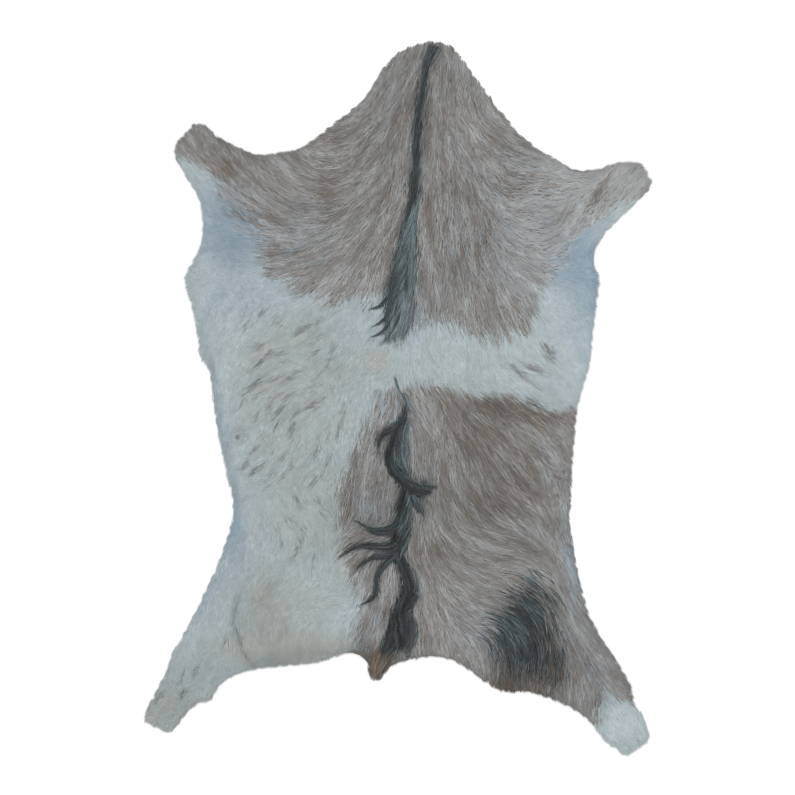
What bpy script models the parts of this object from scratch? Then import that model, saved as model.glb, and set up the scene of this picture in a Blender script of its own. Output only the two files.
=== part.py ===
# Goatskin rug: one tanned skin with its hair on, lying flat with the hair side up.
# Metres, +Z up. +Y runs from the tail to the neck, and +X is the rug's right seen from above.
# The origin is under the middle of the rug, on the floor.
# The skin and its coat are one lumpy slab: a flat underside, small locks round the rim,
# tufts that fan out from the neck, and the long locks of the back raised along it.

import math

import bpy
import numpy as np
from mathutils import Vector
from mathutils.geometry import delaunay_2d_cdt

MM = 0.001

# Driving dimensions
RUG_LENGTH = 1.000            # neck to hind feet
RUG_WIDTH = 0.712             # right forefoot to left hind foot
RIM_THICKNESS = 0.0032        # skin and trimmed hair at the cut edge
RIM_TUCK = 0.0006             # how far the top of the cut edge leans in
COAT_THICKNESS = 0.0072       # skin and lying hair away from the edge
EDGE_ROLL = 0.030             # width over which the coat thins towards the edge

# Locks round the rim
RIM_LOCK_PITCH = 0.0150       # root of one lock to the root of the next
RIM_LOCK_REACH = 0.0026       # how far a tip stands past the roots
RIM_LOCK_LEAN = 0.0030        # how far a tip leans towards the tail

# Tufts of the coat, in a fan whose middle is on the neck
FAN_MIDDLE = (0.020, 0.430)
TUFT_ANGLE = math.radians(5.0)
TUFT_LENGTH = 0.052
TUFT_RISE = 0.0016
FAN_REACH = 0.330             # tufts are at full height from here on

# Spacing of the points on the hair side
BODY_SPACING = 0.0150
LOCK_SPACING = 0.0068
LOCK_MARGIN = 0.0060          # fine points reach this far past a raised lock
UNDERSIDE_SPACING = 0.0700

# Outline in millimetres, clockwise from the crown of the neck, in columns (x, y)
NECK_RIGHT_EDGE = [(24, 494), (47, 500), (68, 496), (81, 488), (117, 439), (131, 421), (139, 406),
                   (151, 396), (167, 374), (185, 359), (195, 350), (220, 337), (248, 320), (271, 320)]
RIGHT_FORELEG = [(285, 322), (308, 331), (343, 330), (350, 317), (357, 306), (355, 298),
                 (349, 289), (322, 262), (294, 235), (277, 208), (274, 194)]
RIGHT_FLANK = [(284, 168), (279, 126), (274, 86), (269, 44), (255, -3), (249, -49),
               (243, -143), (241, -170), (250, -227), (262, -283)]
RIGHT_HIND_LEG = [(279, -323), (323, -393), (331, -419), (331, -428), (339, -435), (353, -470),
                  (350, -482), (321, -500), (309, -492), (290, -479), (282, -467), (253, -438),
                  (203, -416), (178, -410), (155, -411)]
RIGHT_RUMP = [(130, -401), (102, -380), (77, -366), (49, -361), (17, -366), (-9, -374)]
TAIL = [(-22, -392), (-30, -395), (-39, -389), (-41, -376), (-45, -360), (-64, -354)]
LEFT_RUMP = [(-90, -363), (-121, -371), (-191, -378), (-229, -388), (-249, -402)]
LEFT_HIND_LEG = [(-264, -425), (-276, -425), (-292, -437), (-316, -466), (-327, -466),
                 (-351, -453), (-355, -446), (-347, -427), (-330, -397), (-315, -358),
                 (-295, -323), (-254, -240), (-234, -182), (-229, -149)]
LEFT_FLANK = [(-241, -98), (-254, -28), (-260, 23), (-263, 40), (-274, 54), (-278, 67),
              (-279, 86), (-287, 126), (-297, 159), (-296, 175), (-277, 213)]
LEFT_FORELEG = [(-273, 240), (-274, 261), (-282, 289), (-308, 332), (-312, 351), (-309, 360),
                (-288, 382), (-281, 387), (-263, 379), (-252, 368), (-214, 348), (-193, 342)]
NECK_LEFT_EDGE = [(-165, 345), (-137, 351), (-119, 362), (-56, 410), (-36, 434), (-31, 446),
                  (-14, 467), (5, 487)]
OUTLINE = (NECK_RIGHT_EDGE + RIGHT_FORELEG + RIGHT_FLANK + RIGHT_HIND_LEG + RIGHT_RUMP + TAIL
           + LEFT_RUMP + LEFT_HIND_LEG + LEFT_FLANK + LEFT_FORELEG + NECK_LEFT_EDGE)

# Fuller and thinner places of the coat, in columns
# (x mm, y mm, half length along y mm, half width along x mm, rise mm)
COAT_MOUNDS = [
    (20, 330, 150, 60, 1.4),       # crest of the neck
    (-120, 250, 80, 90, 1.2),      # left shoulder
    (150, 235, 80, 90, 1.2),       # right shoulder
    (-120, -20, 130, 90, 2.2),     # long hair of the left flank
    (110, -110, 110, 80, 1.6),     # right side of the rump
    (175, -320, 70, 55, 2.6),      # right haunch
    (-170, -300, 70, 80, 2.0),     # whorl of the left haunch
    (-255, 230, 40, 35, -1.6),     # thin hair in the left armpit
    (250, 190, 40, 35, -1.6),      # thin hair in the right armpit
    (-245, -170, 60, 25, -1.0),    # thin hair before the left thigh
    (240, -210, 60, 25, -1.0),     # thin hair before the right thigh
]

# Long locks of the back, in columns (x mm, y mm, half width mm, rise mm), from root to tip
BACK_LOCKS = {
    "upper_mane": [(45, 490, 6, 1.2), (35, 433, 7, 3.0), (28, 381, 8, 3.8), (24, 329, 9, 4.4),
                   (18, 272, 11, 5.0), (7, 221, 15, 6.0), (1, 172, 18, 6.6), (-8, 130, 17, 6.2),
                   (-20, 92, 12, 3.0)],
    "upper_flick": [(-4, 142, 9, 5.4), (-20, 127, 8, 4.4), (-38, 124, 5, 1.6)],
    "curl": [(0, -3, 6, 3.2), (7, -22, 7, 5.2), (-3, -43, 8, 6.0), (-20, -50, 7, 5.0),
             (-29, -67, 4, 1.4)],
    "bow": [(1, -36, 8, 5.4), (-13, -56, 9, 6.6), (-12, -92, 9, 7.0), (4, -114, 9, 6.8),
            (27, -125, 7, 4.6), (53, -123, 4, 1.4)],
    "trunk": [(10, -95, 10, 5.0), (7, -150, 13, 6.4), (3, -190, 14, 6.6), (1, -222, 13, 6.4),
              (8, -248, 12, 6.0), (20, -276, 11, 6.2), (8, -303, 13, 6.2), (-2, -330, 12, 5.0),
              (-26, -380, 9, 2.2)],
    "flick_1": [(0, -160, 9, 6.0), (-20, -177, 8, 5.4), (-50, -175, 6, 3.6), (-64, -169, 4, 1.2)],
    "flick_2": [(0, -196, 9, 6.0), (-38, -200, 8, 5.4), (-68, -213, 6, 3.6), (-87, -230, 4, 1.2)],
    "flick_3": [(0, -227, 9, 6.0), (-25, -240, 8, 5.4), (-30, -265, 6, 4.2), (-55, -288, 4, 1.2)],
}


def clear_scene():
    for item in list(bpy.data.objects):
        bpy.data.objects.remove(item, do_unlink=True)


def smooth_path(rows, closed, steps):
    """Catmull-Rom curve through the rows, with the same number of steps between any two."""
    rows = np.asarray(rows, dtype=float)
    if closed:
        before, start = np.roll(rows, 1, axis=0), rows
        end, after = np.roll(rows, -1, axis=0), np.roll(rows, -2, axis=0)
    else:
        padded = np.vstack([2 * rows[0] - rows[1], rows, 2 * rows[-1] - rows[-2]])
        before, start, end, after = padded[:-3], padded[1:-2], padded[2:-1], padded[3:]
    t = (np.arange(steps) / steps)[None, :, None]
    before, start, end, after = (rows_at[:, None, :] for rows_at in (before, start, end, after))
    curve = 0.5 * (2 * start + (end - before) * t + (2 * before - 5 * start + 4 * end - after) * t ** 2
                   + (3 * start - before - 3 * end + after) * t ** 3)
    curve = curve.reshape(-1, rows.shape[1])
    return curve if closed else np.vstack([curve, rows[-1]])


def evenly_spaced(loop, count):
    """A closed loop's points, moved to the same distance from each other along it."""
    ring = np.vstack([loop, loop[:1]])
    walked = np.concatenate([[0.0], np.cumsum(np.linalg.norm(np.diff(ring, axis=0), axis=1))])
    stops = np.linspace(0.0, walked[-1], count, endpoint=False)
    return np.column_stack([np.interp(stops, walked, ring[:, axis]) for axis in (0, 1)])


def rug_outline():
    """The cut edge, smooth, in metres and at the rug's driving length and width."""
    edge = smooth_path(OUTLINE, closed=True, steps=12) * MM
    low, high = edge.min(axis=0), edge.max(axis=0)
    return (edge - (low + high) / 2) * (np.array([RUG_WIDTH, RUG_LENGTH]) / (high - low))


def rim_with_locks(edge):
    """Roots and tips by turns round the edge. The tips stand out and lean to the tail."""
    walk = np.linalg.norm(np.diff(np.vstack([edge, edge[:1]]), axis=0), axis=1).sum()
    lock_count = int(round(walk / RIM_LOCK_PITCH))
    points = evenly_spaced(edge, 2 * lock_count)
    along = np.roll(points, -1, axis=0) - np.roll(points, 1, axis=0)
    along /= np.linalg.norm(along, axis=1, keepdims=True)
    outward = np.column_stack([-along[:, 1], along[:, 0]])
    step = np.arange(len(points))
    is_tip = step % 2
    uneven = 0.72 + 0.28 * np.sin(1.9 * step) * np.sin(0.37 * step + 1.0)
    reach = RIM_LOCK_REACH * uneven * (is_tip - 1.0)
    lean = -RIM_LOCK_LEAN * is_tip * uneven * along[:, 1]
    return points + outward * reach[:, None] + along * lean[:, None]


def distance_to_loop(points, loop):
    """Distance of each point to the nearest side of a closed loop."""
    start, side = loop, np.roll(loop, -1, axis=0) - loop
    length_squared = (side ** 2).sum(axis=1)
    nearest = np.full(len(points), np.inf)
    for corner, run, squared in zip(start, side, length_squared):
        offset = points - corner
        share = np.clip((offset @ run) / squared, 0.0, 1.0)
        gap = offset - share[:, None] * run
        nearest = np.minimum(nearest, (gap ** 2).sum(axis=1))
    return np.sqrt(nearest)


def inside_loop(points, loop):
    """True where a line drawn from the point towards +X crosses the loop an odd number of times."""
    x, y = points[:, :1], points[:, 1:]
    x0, y0 = loop[:, 0], loop[:, 1]
    x1, y1 = np.roll(x0, -1), np.roll(y0, -1)
    spans = (y0 > y) != (y1 > y)
    rise = np.where(y1 == y0, 1.0, y1 - y0)
    crossing = x0 + (y - y0) * (x1 - x0) / rise
    return (spans & (crossing > x)).sum(axis=1) % 2 == 1


def lock_profile(points, rows):
    """Height of one long lock, rounded across its path, and the distance past its sides."""
    path = smooth_path(rows, closed=False, steps=8) * MM
    gaps = np.linalg.norm(points[:, None, :] - path[None, :, :2], axis=2)
    past_side = gaps - path[None, :, 2]
    share = np.clip(gaps / path[None, :, 2], 0.0, 1.0)
    height = (path[None, :, 3] * (1.0 - share ** 2)).max(axis=1)
    return height, past_side.min(axis=1)


def tuft_height(points):
    """Overlapping tufts in a fan: each rises along the lay of the hair and is rounded across it."""
    across = points[:, 0] - FAN_MIDDLE[0]
    down = FAN_MIDDLE[1] - points[:, 1]
    distance = np.hypot(across, down)
    column = np.arctan2(across, down) / TUFT_ANGLE
    row = distance / TUFT_LENGTH + 0.5 * (np.floor(column) % 2)
    rounded = 1.0 - (2.0 * (column % 1.0) - 1.0) ** 2
    rising = row % 1.0
    return TUFT_RISE * rounded * rising * np.clip(distance / FAN_REACH, 0.0, 1.0)


def coat_height(points, rim):
    """Height of the hair side over the floor."""
    edge_share = np.clip(distance_to_loop(points, rim) / EDGE_ROLL, 0.0, 1.0)
    roll = np.sqrt(1.0 - (1.0 - edge_share) ** 2)
    body = COAT_THICKNESS + tuft_height(points)
    for x, y, half_length, half_width, rise in COAT_MOUNDS:
        reach = ((points[:, 0] - x * MM) / (half_width * MM)) ** 2
        reach += ((points[:, 1] - y * MM) / (half_length * MM)) ** 2
        body += rise * MM * np.exp(-0.5 * reach)
    for rows in BACK_LOCKS.values():
        body = np.maximum(body, COAT_THICKNESS + lock_profile(points, rows)[0])
    return RIM_THICKNESS + (body - RIM_THICKNESS) * roll


def staggered_grid(spacing, low, high):
    """Points in rows, every second row half a step to the side."""
    row_gap = spacing * math.sqrt(3) / 2
    rows = np.arange(low[1], high[1], row_gap)
    columns = np.arange(low[0], high[0], spacing)
    x, y = np.meshgrid(columns, rows)
    x = x + (np.arange(len(rows)) % 2)[:, None] * spacing / 2
    return np.column_stack([x.ravel(), y.ravel()])


def hair_side_points(rim):
    """Coarse points over the body and fine points over the long locks, clear of the rim."""
    low, high = rim.min(axis=0), rim.max(axis=0)
    coarse = staggered_grid(BODY_SPACING, low, high)
    fine = staggered_grid(LOCK_SPACING, low, high)

    def past_locks(points):
        return np.min([lock_profile(points, rows)[1] for rows in BACK_LOCKS.values()], axis=0)

    coarse = coarse[past_locks(coarse) > LOCK_MARGIN]
    fine = fine[past_locks(fine) <= LOCK_MARGIN]
    points = np.vstack([coarse, fine])
    points = points[inside_loop(points, rim)]
    return points[distance_to_loop(points, rim) > 0.4 * BODY_SPACING]


def fill(rim, inner):
    """Triangles that fill the rim and use the inner points."""
    points = [Vector(point) for point in np.vstack([rim, inner]).tolist()]
    count = len(rim)
    sides = [(index, (index + 1) % count) for index in range(count)]
    filled = delaunay_2d_cdt(points, sides, [], 1, 1e-7)
    flat = np.array([tuple(point) for point in filled[0]])
    return flat, np.array(filled[2])


def facing_up(flat, triangles):
    """The triangles, each turned so that it goes round anticlockwise from above."""
    first, second, third = (flat[triangles[:, corner]] for corner in range(3))
    turn = np.cross(second - first, third - first)
    triangles = triangles.copy()
    triangles[turn < 0] = triangles[turn < 0][:, ::-1]
    return triangles


def coat_material():
    material = bpy.data.materials.new("goat_hair")
    material.use_nodes = True
    shader = material.node_tree.nodes["Principled BSDF"]
    shader.inputs["Base Color"].default_value = (0.31, 0.28, 0.26, 1.0)
    shader.inputs["Roughness"].default_value = 0.70
    shader.inputs["Metallic"].default_value = 0.0
    return material


def build_goatskin():
    """Hair side, cut edge and flat underside, joined into one closed slab."""
    rim = rim_with_locks(rug_outline())
    count = len(rim)
    middle = (rim.min(axis=0) + rim.max(axis=0)) / 2
    rim = rim - middle

    inward = rim * (1.0 - RIM_TUCK / np.linalg.norm(rim, axis=1, keepdims=True))
    hair_flat, hair_faces = fill(inward, hair_side_points(inward))
    hair_faces = facing_up(hair_flat, hair_faces)
    heights = coat_height(hair_flat, inward)
    heights[:count] = RIM_THICKNESS
    hair_points = np.column_stack([hair_flat, heights])

    low, high = rim.min(axis=0), rim.max(axis=0)
    under_points = staggered_grid(UNDERSIDE_SPACING, low, high)
    under_points = under_points[inside_loop(under_points, rim)]
    under_points = under_points[distance_to_loop(under_points, rim) > 0.4 * UNDERSIDE_SPACING]
    under_flat, under_faces = fill(rim, under_points)
    under_faces = facing_up(under_flat, under_faces)[:, ::-1]
    under = np.column_stack([under_flat, np.zeros(len(under_flat))])

    first = np.arange(count)
    following = (first + 1) % count
    floor_first, floor_next = first + len(hair_points), following + len(hair_points)
    wall = np.vstack([np.column_stack([first, following, floor_next]),
                      np.column_stack([first, floor_next, floor_first])])
    faces = np.vstack([hair_faces, under_faces + len(hair_points), wall])

    mesh = bpy.data.meshes.new("goatskin")
    mesh.from_pydata(np.vstack([hair_points, under]).tolist(), [], faces.tolist())
    mesh.validate()
    mesh.materials.append(coat_material())
    rug = bpy.data.objects.new("goatskin", mesh)
    bpy.context.collection.objects.link(rug)
    mesh.shade_smooth()
    mesh.set_sharp_from_angle(angle=math.radians(50))
    return rug


clear_scene()
build_goatskin()
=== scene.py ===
import math
import time

import bpy
import numpy as np
from mathutils.bvhtree import BVHTree
from mathutils.kdtree import KDTree
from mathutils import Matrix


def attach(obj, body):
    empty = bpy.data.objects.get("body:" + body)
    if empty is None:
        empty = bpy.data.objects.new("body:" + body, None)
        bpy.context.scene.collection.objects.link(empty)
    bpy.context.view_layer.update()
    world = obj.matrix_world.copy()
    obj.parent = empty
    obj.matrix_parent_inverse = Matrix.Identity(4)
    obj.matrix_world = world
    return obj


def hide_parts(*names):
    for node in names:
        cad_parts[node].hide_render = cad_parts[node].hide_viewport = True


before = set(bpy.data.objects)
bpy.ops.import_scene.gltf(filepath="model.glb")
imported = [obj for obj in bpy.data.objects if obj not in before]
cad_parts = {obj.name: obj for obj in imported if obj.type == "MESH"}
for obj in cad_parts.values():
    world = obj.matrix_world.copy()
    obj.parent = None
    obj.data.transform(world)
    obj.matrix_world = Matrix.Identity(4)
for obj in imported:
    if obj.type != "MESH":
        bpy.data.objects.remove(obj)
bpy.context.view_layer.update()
started = time.time()
mm = 0.001


def stage(words):
    print(f"{time.time() - started:6.1f} s  {words}")


# The camera looks straight down, from far enough off that the legs aren't drawn apart
view = {"frameWidth": 1.113, "height": 5.0, "sensor": 36.0, "offset": (-0.0014, 0.0013)}


def placeCamera():
    data = bpy.data.cameras.new("aboveRug")
    data.sensor_width = view["sensor"]
    data.lens = view["sensor"] * view["height"] / view["frameWidth"]
    data.clip_end = 40.0
    camera = bpy.data.objects.new("aboveRug", data)
    camera.location = (view["offset"][0], view["offset"][1], view["height"])
    bpy.context.scene.collection.objects.link(camera)
    bpy.context.scene.camera = camera


# The fields that every piece reads: one value for each cell of a grid laid over the rug
grid = {"low": (-0.384, -0.528), "step": 0.0022, "columns": 350, "rows": 481, "lastCell": 1.001,
        "noiseWidth": 0.9, "noiseHeight": 1.2}


# Places of the cells, column by column and row by row
def gridPoints():
    x = grid["low"][0] + grid["step"] * np.arange(grid["columns"])
    y = grid["low"][1] + grid["step"] * np.arange(grid["rows"])
    return np.meshgrid(x, y)


# Value of a field at any point, blended from the four cells round it
def lookUp(field, x, y):
    column = np.clip((x - grid["low"][0]) / grid["step"], 0, grid["columns"] - grid["lastCell"])
    row = np.clip((y - grid["low"][1]) / grid["step"], 0, grid["rows"] - grid["lastCell"])
    i, j = column.astype(int), row.astype(int)
    s, t = column - i, row - j
    below = field[j, i] * (1 - s) + field[j, i + 1] * s
    above = field[j + 1, i] * (1 - s) + field[j + 1, i + 1] * s
    return below * (1 - t) + above * t


# Catmull-Rom curve through rows of numbers, with the same number of steps between any two
def smoothPath(rows, steps, closed=False):
    rows = np.asarray(rows, float)
    if closed:
        before, start = np.roll(rows, 1, axis=0), rows
        end, after = np.roll(rows, -1, axis=0), np.roll(rows, -2, axis=0)
    else:
        padded = np.vstack([2 * rows[0] - rows[1], rows, 2 * rows[-1] - rows[-2]])
        before, start, end, after = padded[:-3], padded[1:-2], padded[2:-1], padded[3:]
    t = (np.arange(steps) / steps)[None, :, None]
    before, start, end, after = before[:, None], start[:, None], end[:, None], after[:, None]
    curve = 0.5 * (2 * start + (end - before) * t
                   + (2 * before - 5 * start + 4 * end - after) * t ** 2
                   + (3 * start - before - 3 * end + after) * t ** 3)
    curve = curve.reshape(-1, rows.shape[1])
    return curve if closed else np.vstack([curve, rows[-1]])


# Distance to a closed loop, positive inside it. The sign comes from how often a line
# towards +X crosses the loop.
def insideDistance(x, y, loop):
    nearest = np.full(x.shape, np.inf)
    crossings = np.zeros(x.shape, int)
    for (x0, y0), (x1, y1) in zip(loop, np.roll(loop, -1, axis=0)):
        runX, runY = x1 - x0, y1 - y0
        share = np.clip(((x - x0) * runX + (y - y0) * runY) / (runX ** 2 + runY ** 2 + 1e-18), 0, 1)
        nearest = np.minimum(nearest, (x - x0 - share * runX) ** 2 + (y - y0 - share * runY) ** 2)
        if y0 != y1:
            crossings += ((y0 > y) != (y1 > y)) & (x0 + (y - y0) * runX / runY > x)
    return np.sqrt(nearest) * np.where(crossings % 2 == 1, 1.0, -1.0)


# 0 at low and 1 at high, with no slope at either
def smoothStep(low, high, value):
    share = np.clip((value - low) / (high - low), 0, 1)
    return share * share * (3 - 2 * share)


# Smooth noise: random values on coarse cells, eased between them
def softNoise(x, y, cell, dice):
    low = grid["low"]
    shape = (int(grid["noiseHeight"] / cell) + 3, int(grid["noiseWidth"] / cell) + 3)
    values = dice.normal(size=shape)
    u, v = (x - low[0]) / cell, (y - low[1]) / cell
    i, j = np.clip(u.astype(int), 0, shape[1] - 2), np.clip(v.astype(int), 0, shape[0] - 2)
    s, t = smoothStep(0, 1, u - i), smoothStep(0, 1, v - j)
    below = values[j, i] * (1 - s) + values[j, i + 1] * s
    above = values[j + 1, i] * (1 - s) + values[j + 1, i + 1] * s
    return below * (1 - t) + above * t


# The solid of the rug gives the cut edge and the height of the coat
def solidOfRug():
    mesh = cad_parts["goatskin"].data
    mesh.calc_loop_triangles()
    points = np.empty(len(mesh.vertices) * 3)
    corners = np.empty(len(mesh.loop_triangles) * 3, np.int32)
    mesh.vertices.foreach_get("co", points)
    mesh.loop_triangles.foreach_get("vertices", corners)
    return points.reshape(-1, 3), corners.reshape(-1, 3)


# The upright triangles are the wall, and their sides on the floor make the cut edge
wall = {"cellsPerMetre": 1e5, "upright": 0.7, "floor": 1e-5}


def cutEdge(points, corners):
    keys = np.round(points * wall["cellsPerMetre"]).astype(np.int64)
    _, first, label = np.unique(keys, axis=0, return_index=True, return_inverse=True)
    label = label.ravel()
    a, b, c = (points[corners[:, k]] for k in range(3))
    normal = np.cross(b - a, c - a)
    upright = np.abs(normal[:, 2]) < wall["upright"] * np.linalg.norm(normal, axis=1)
    low = points[:, 2] < wall["floor"]
    follow = {}
    for start, end in ((0, 1), (1, 2), (2, 0)):
        onFloor = upright & low[corners[:, start]] & low[corners[:, end]]
        follow.update(zip(label[corners[onFloor, start]].tolist(), label[corners[onFloor, end]].tolist()))
    chain = [next(iter(follow))]
    while follow[chain[-1]] != chain[0]:
        chain.append(follow[chain[-1]])
    return points[first[chain]][:, :2]


# Points at equal steps of the way round a loop
def evenLoop(loop, count):
    ring = np.vstack([loop, loop[:1]])
    walked = np.concatenate([[0], np.cumsum(np.linalg.norm(np.diff(ring, axis=0), axis=1))])
    stops = np.linspace(0, walked[-1], count, endpoint=False)
    return np.column_stack([np.interp(stops, walked, ring[:, k]) for k in (0, 1)])


# Mean of each point and its neighbours, taken several times
def relaxed(loop, rounds):
    for _ in range(rounds):
        loop = 0.25 * np.roll(loop, 1, axis=0) + 0.5 * loop + 0.25 * np.roll(loop, -1, axis=0)
    return loop


# Height of the solid's hair side under each cell, found by a ray from above
def coatTopField(points, corners, x, y):
    tree = BVHTree.FromPolygons(points.tolist(), corners.tolist())
    above, down = 0.2, (0.0, 0.0, -1.0)
    hits = [tree.ray_cast((px, py, above), down)[0] for px, py in zip(x.ravel().tolist(), y.ravel().tolist())]
    return np.array([0.0 if hit is None else hit.z for hit in hits]).reshape(x.shape)


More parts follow.
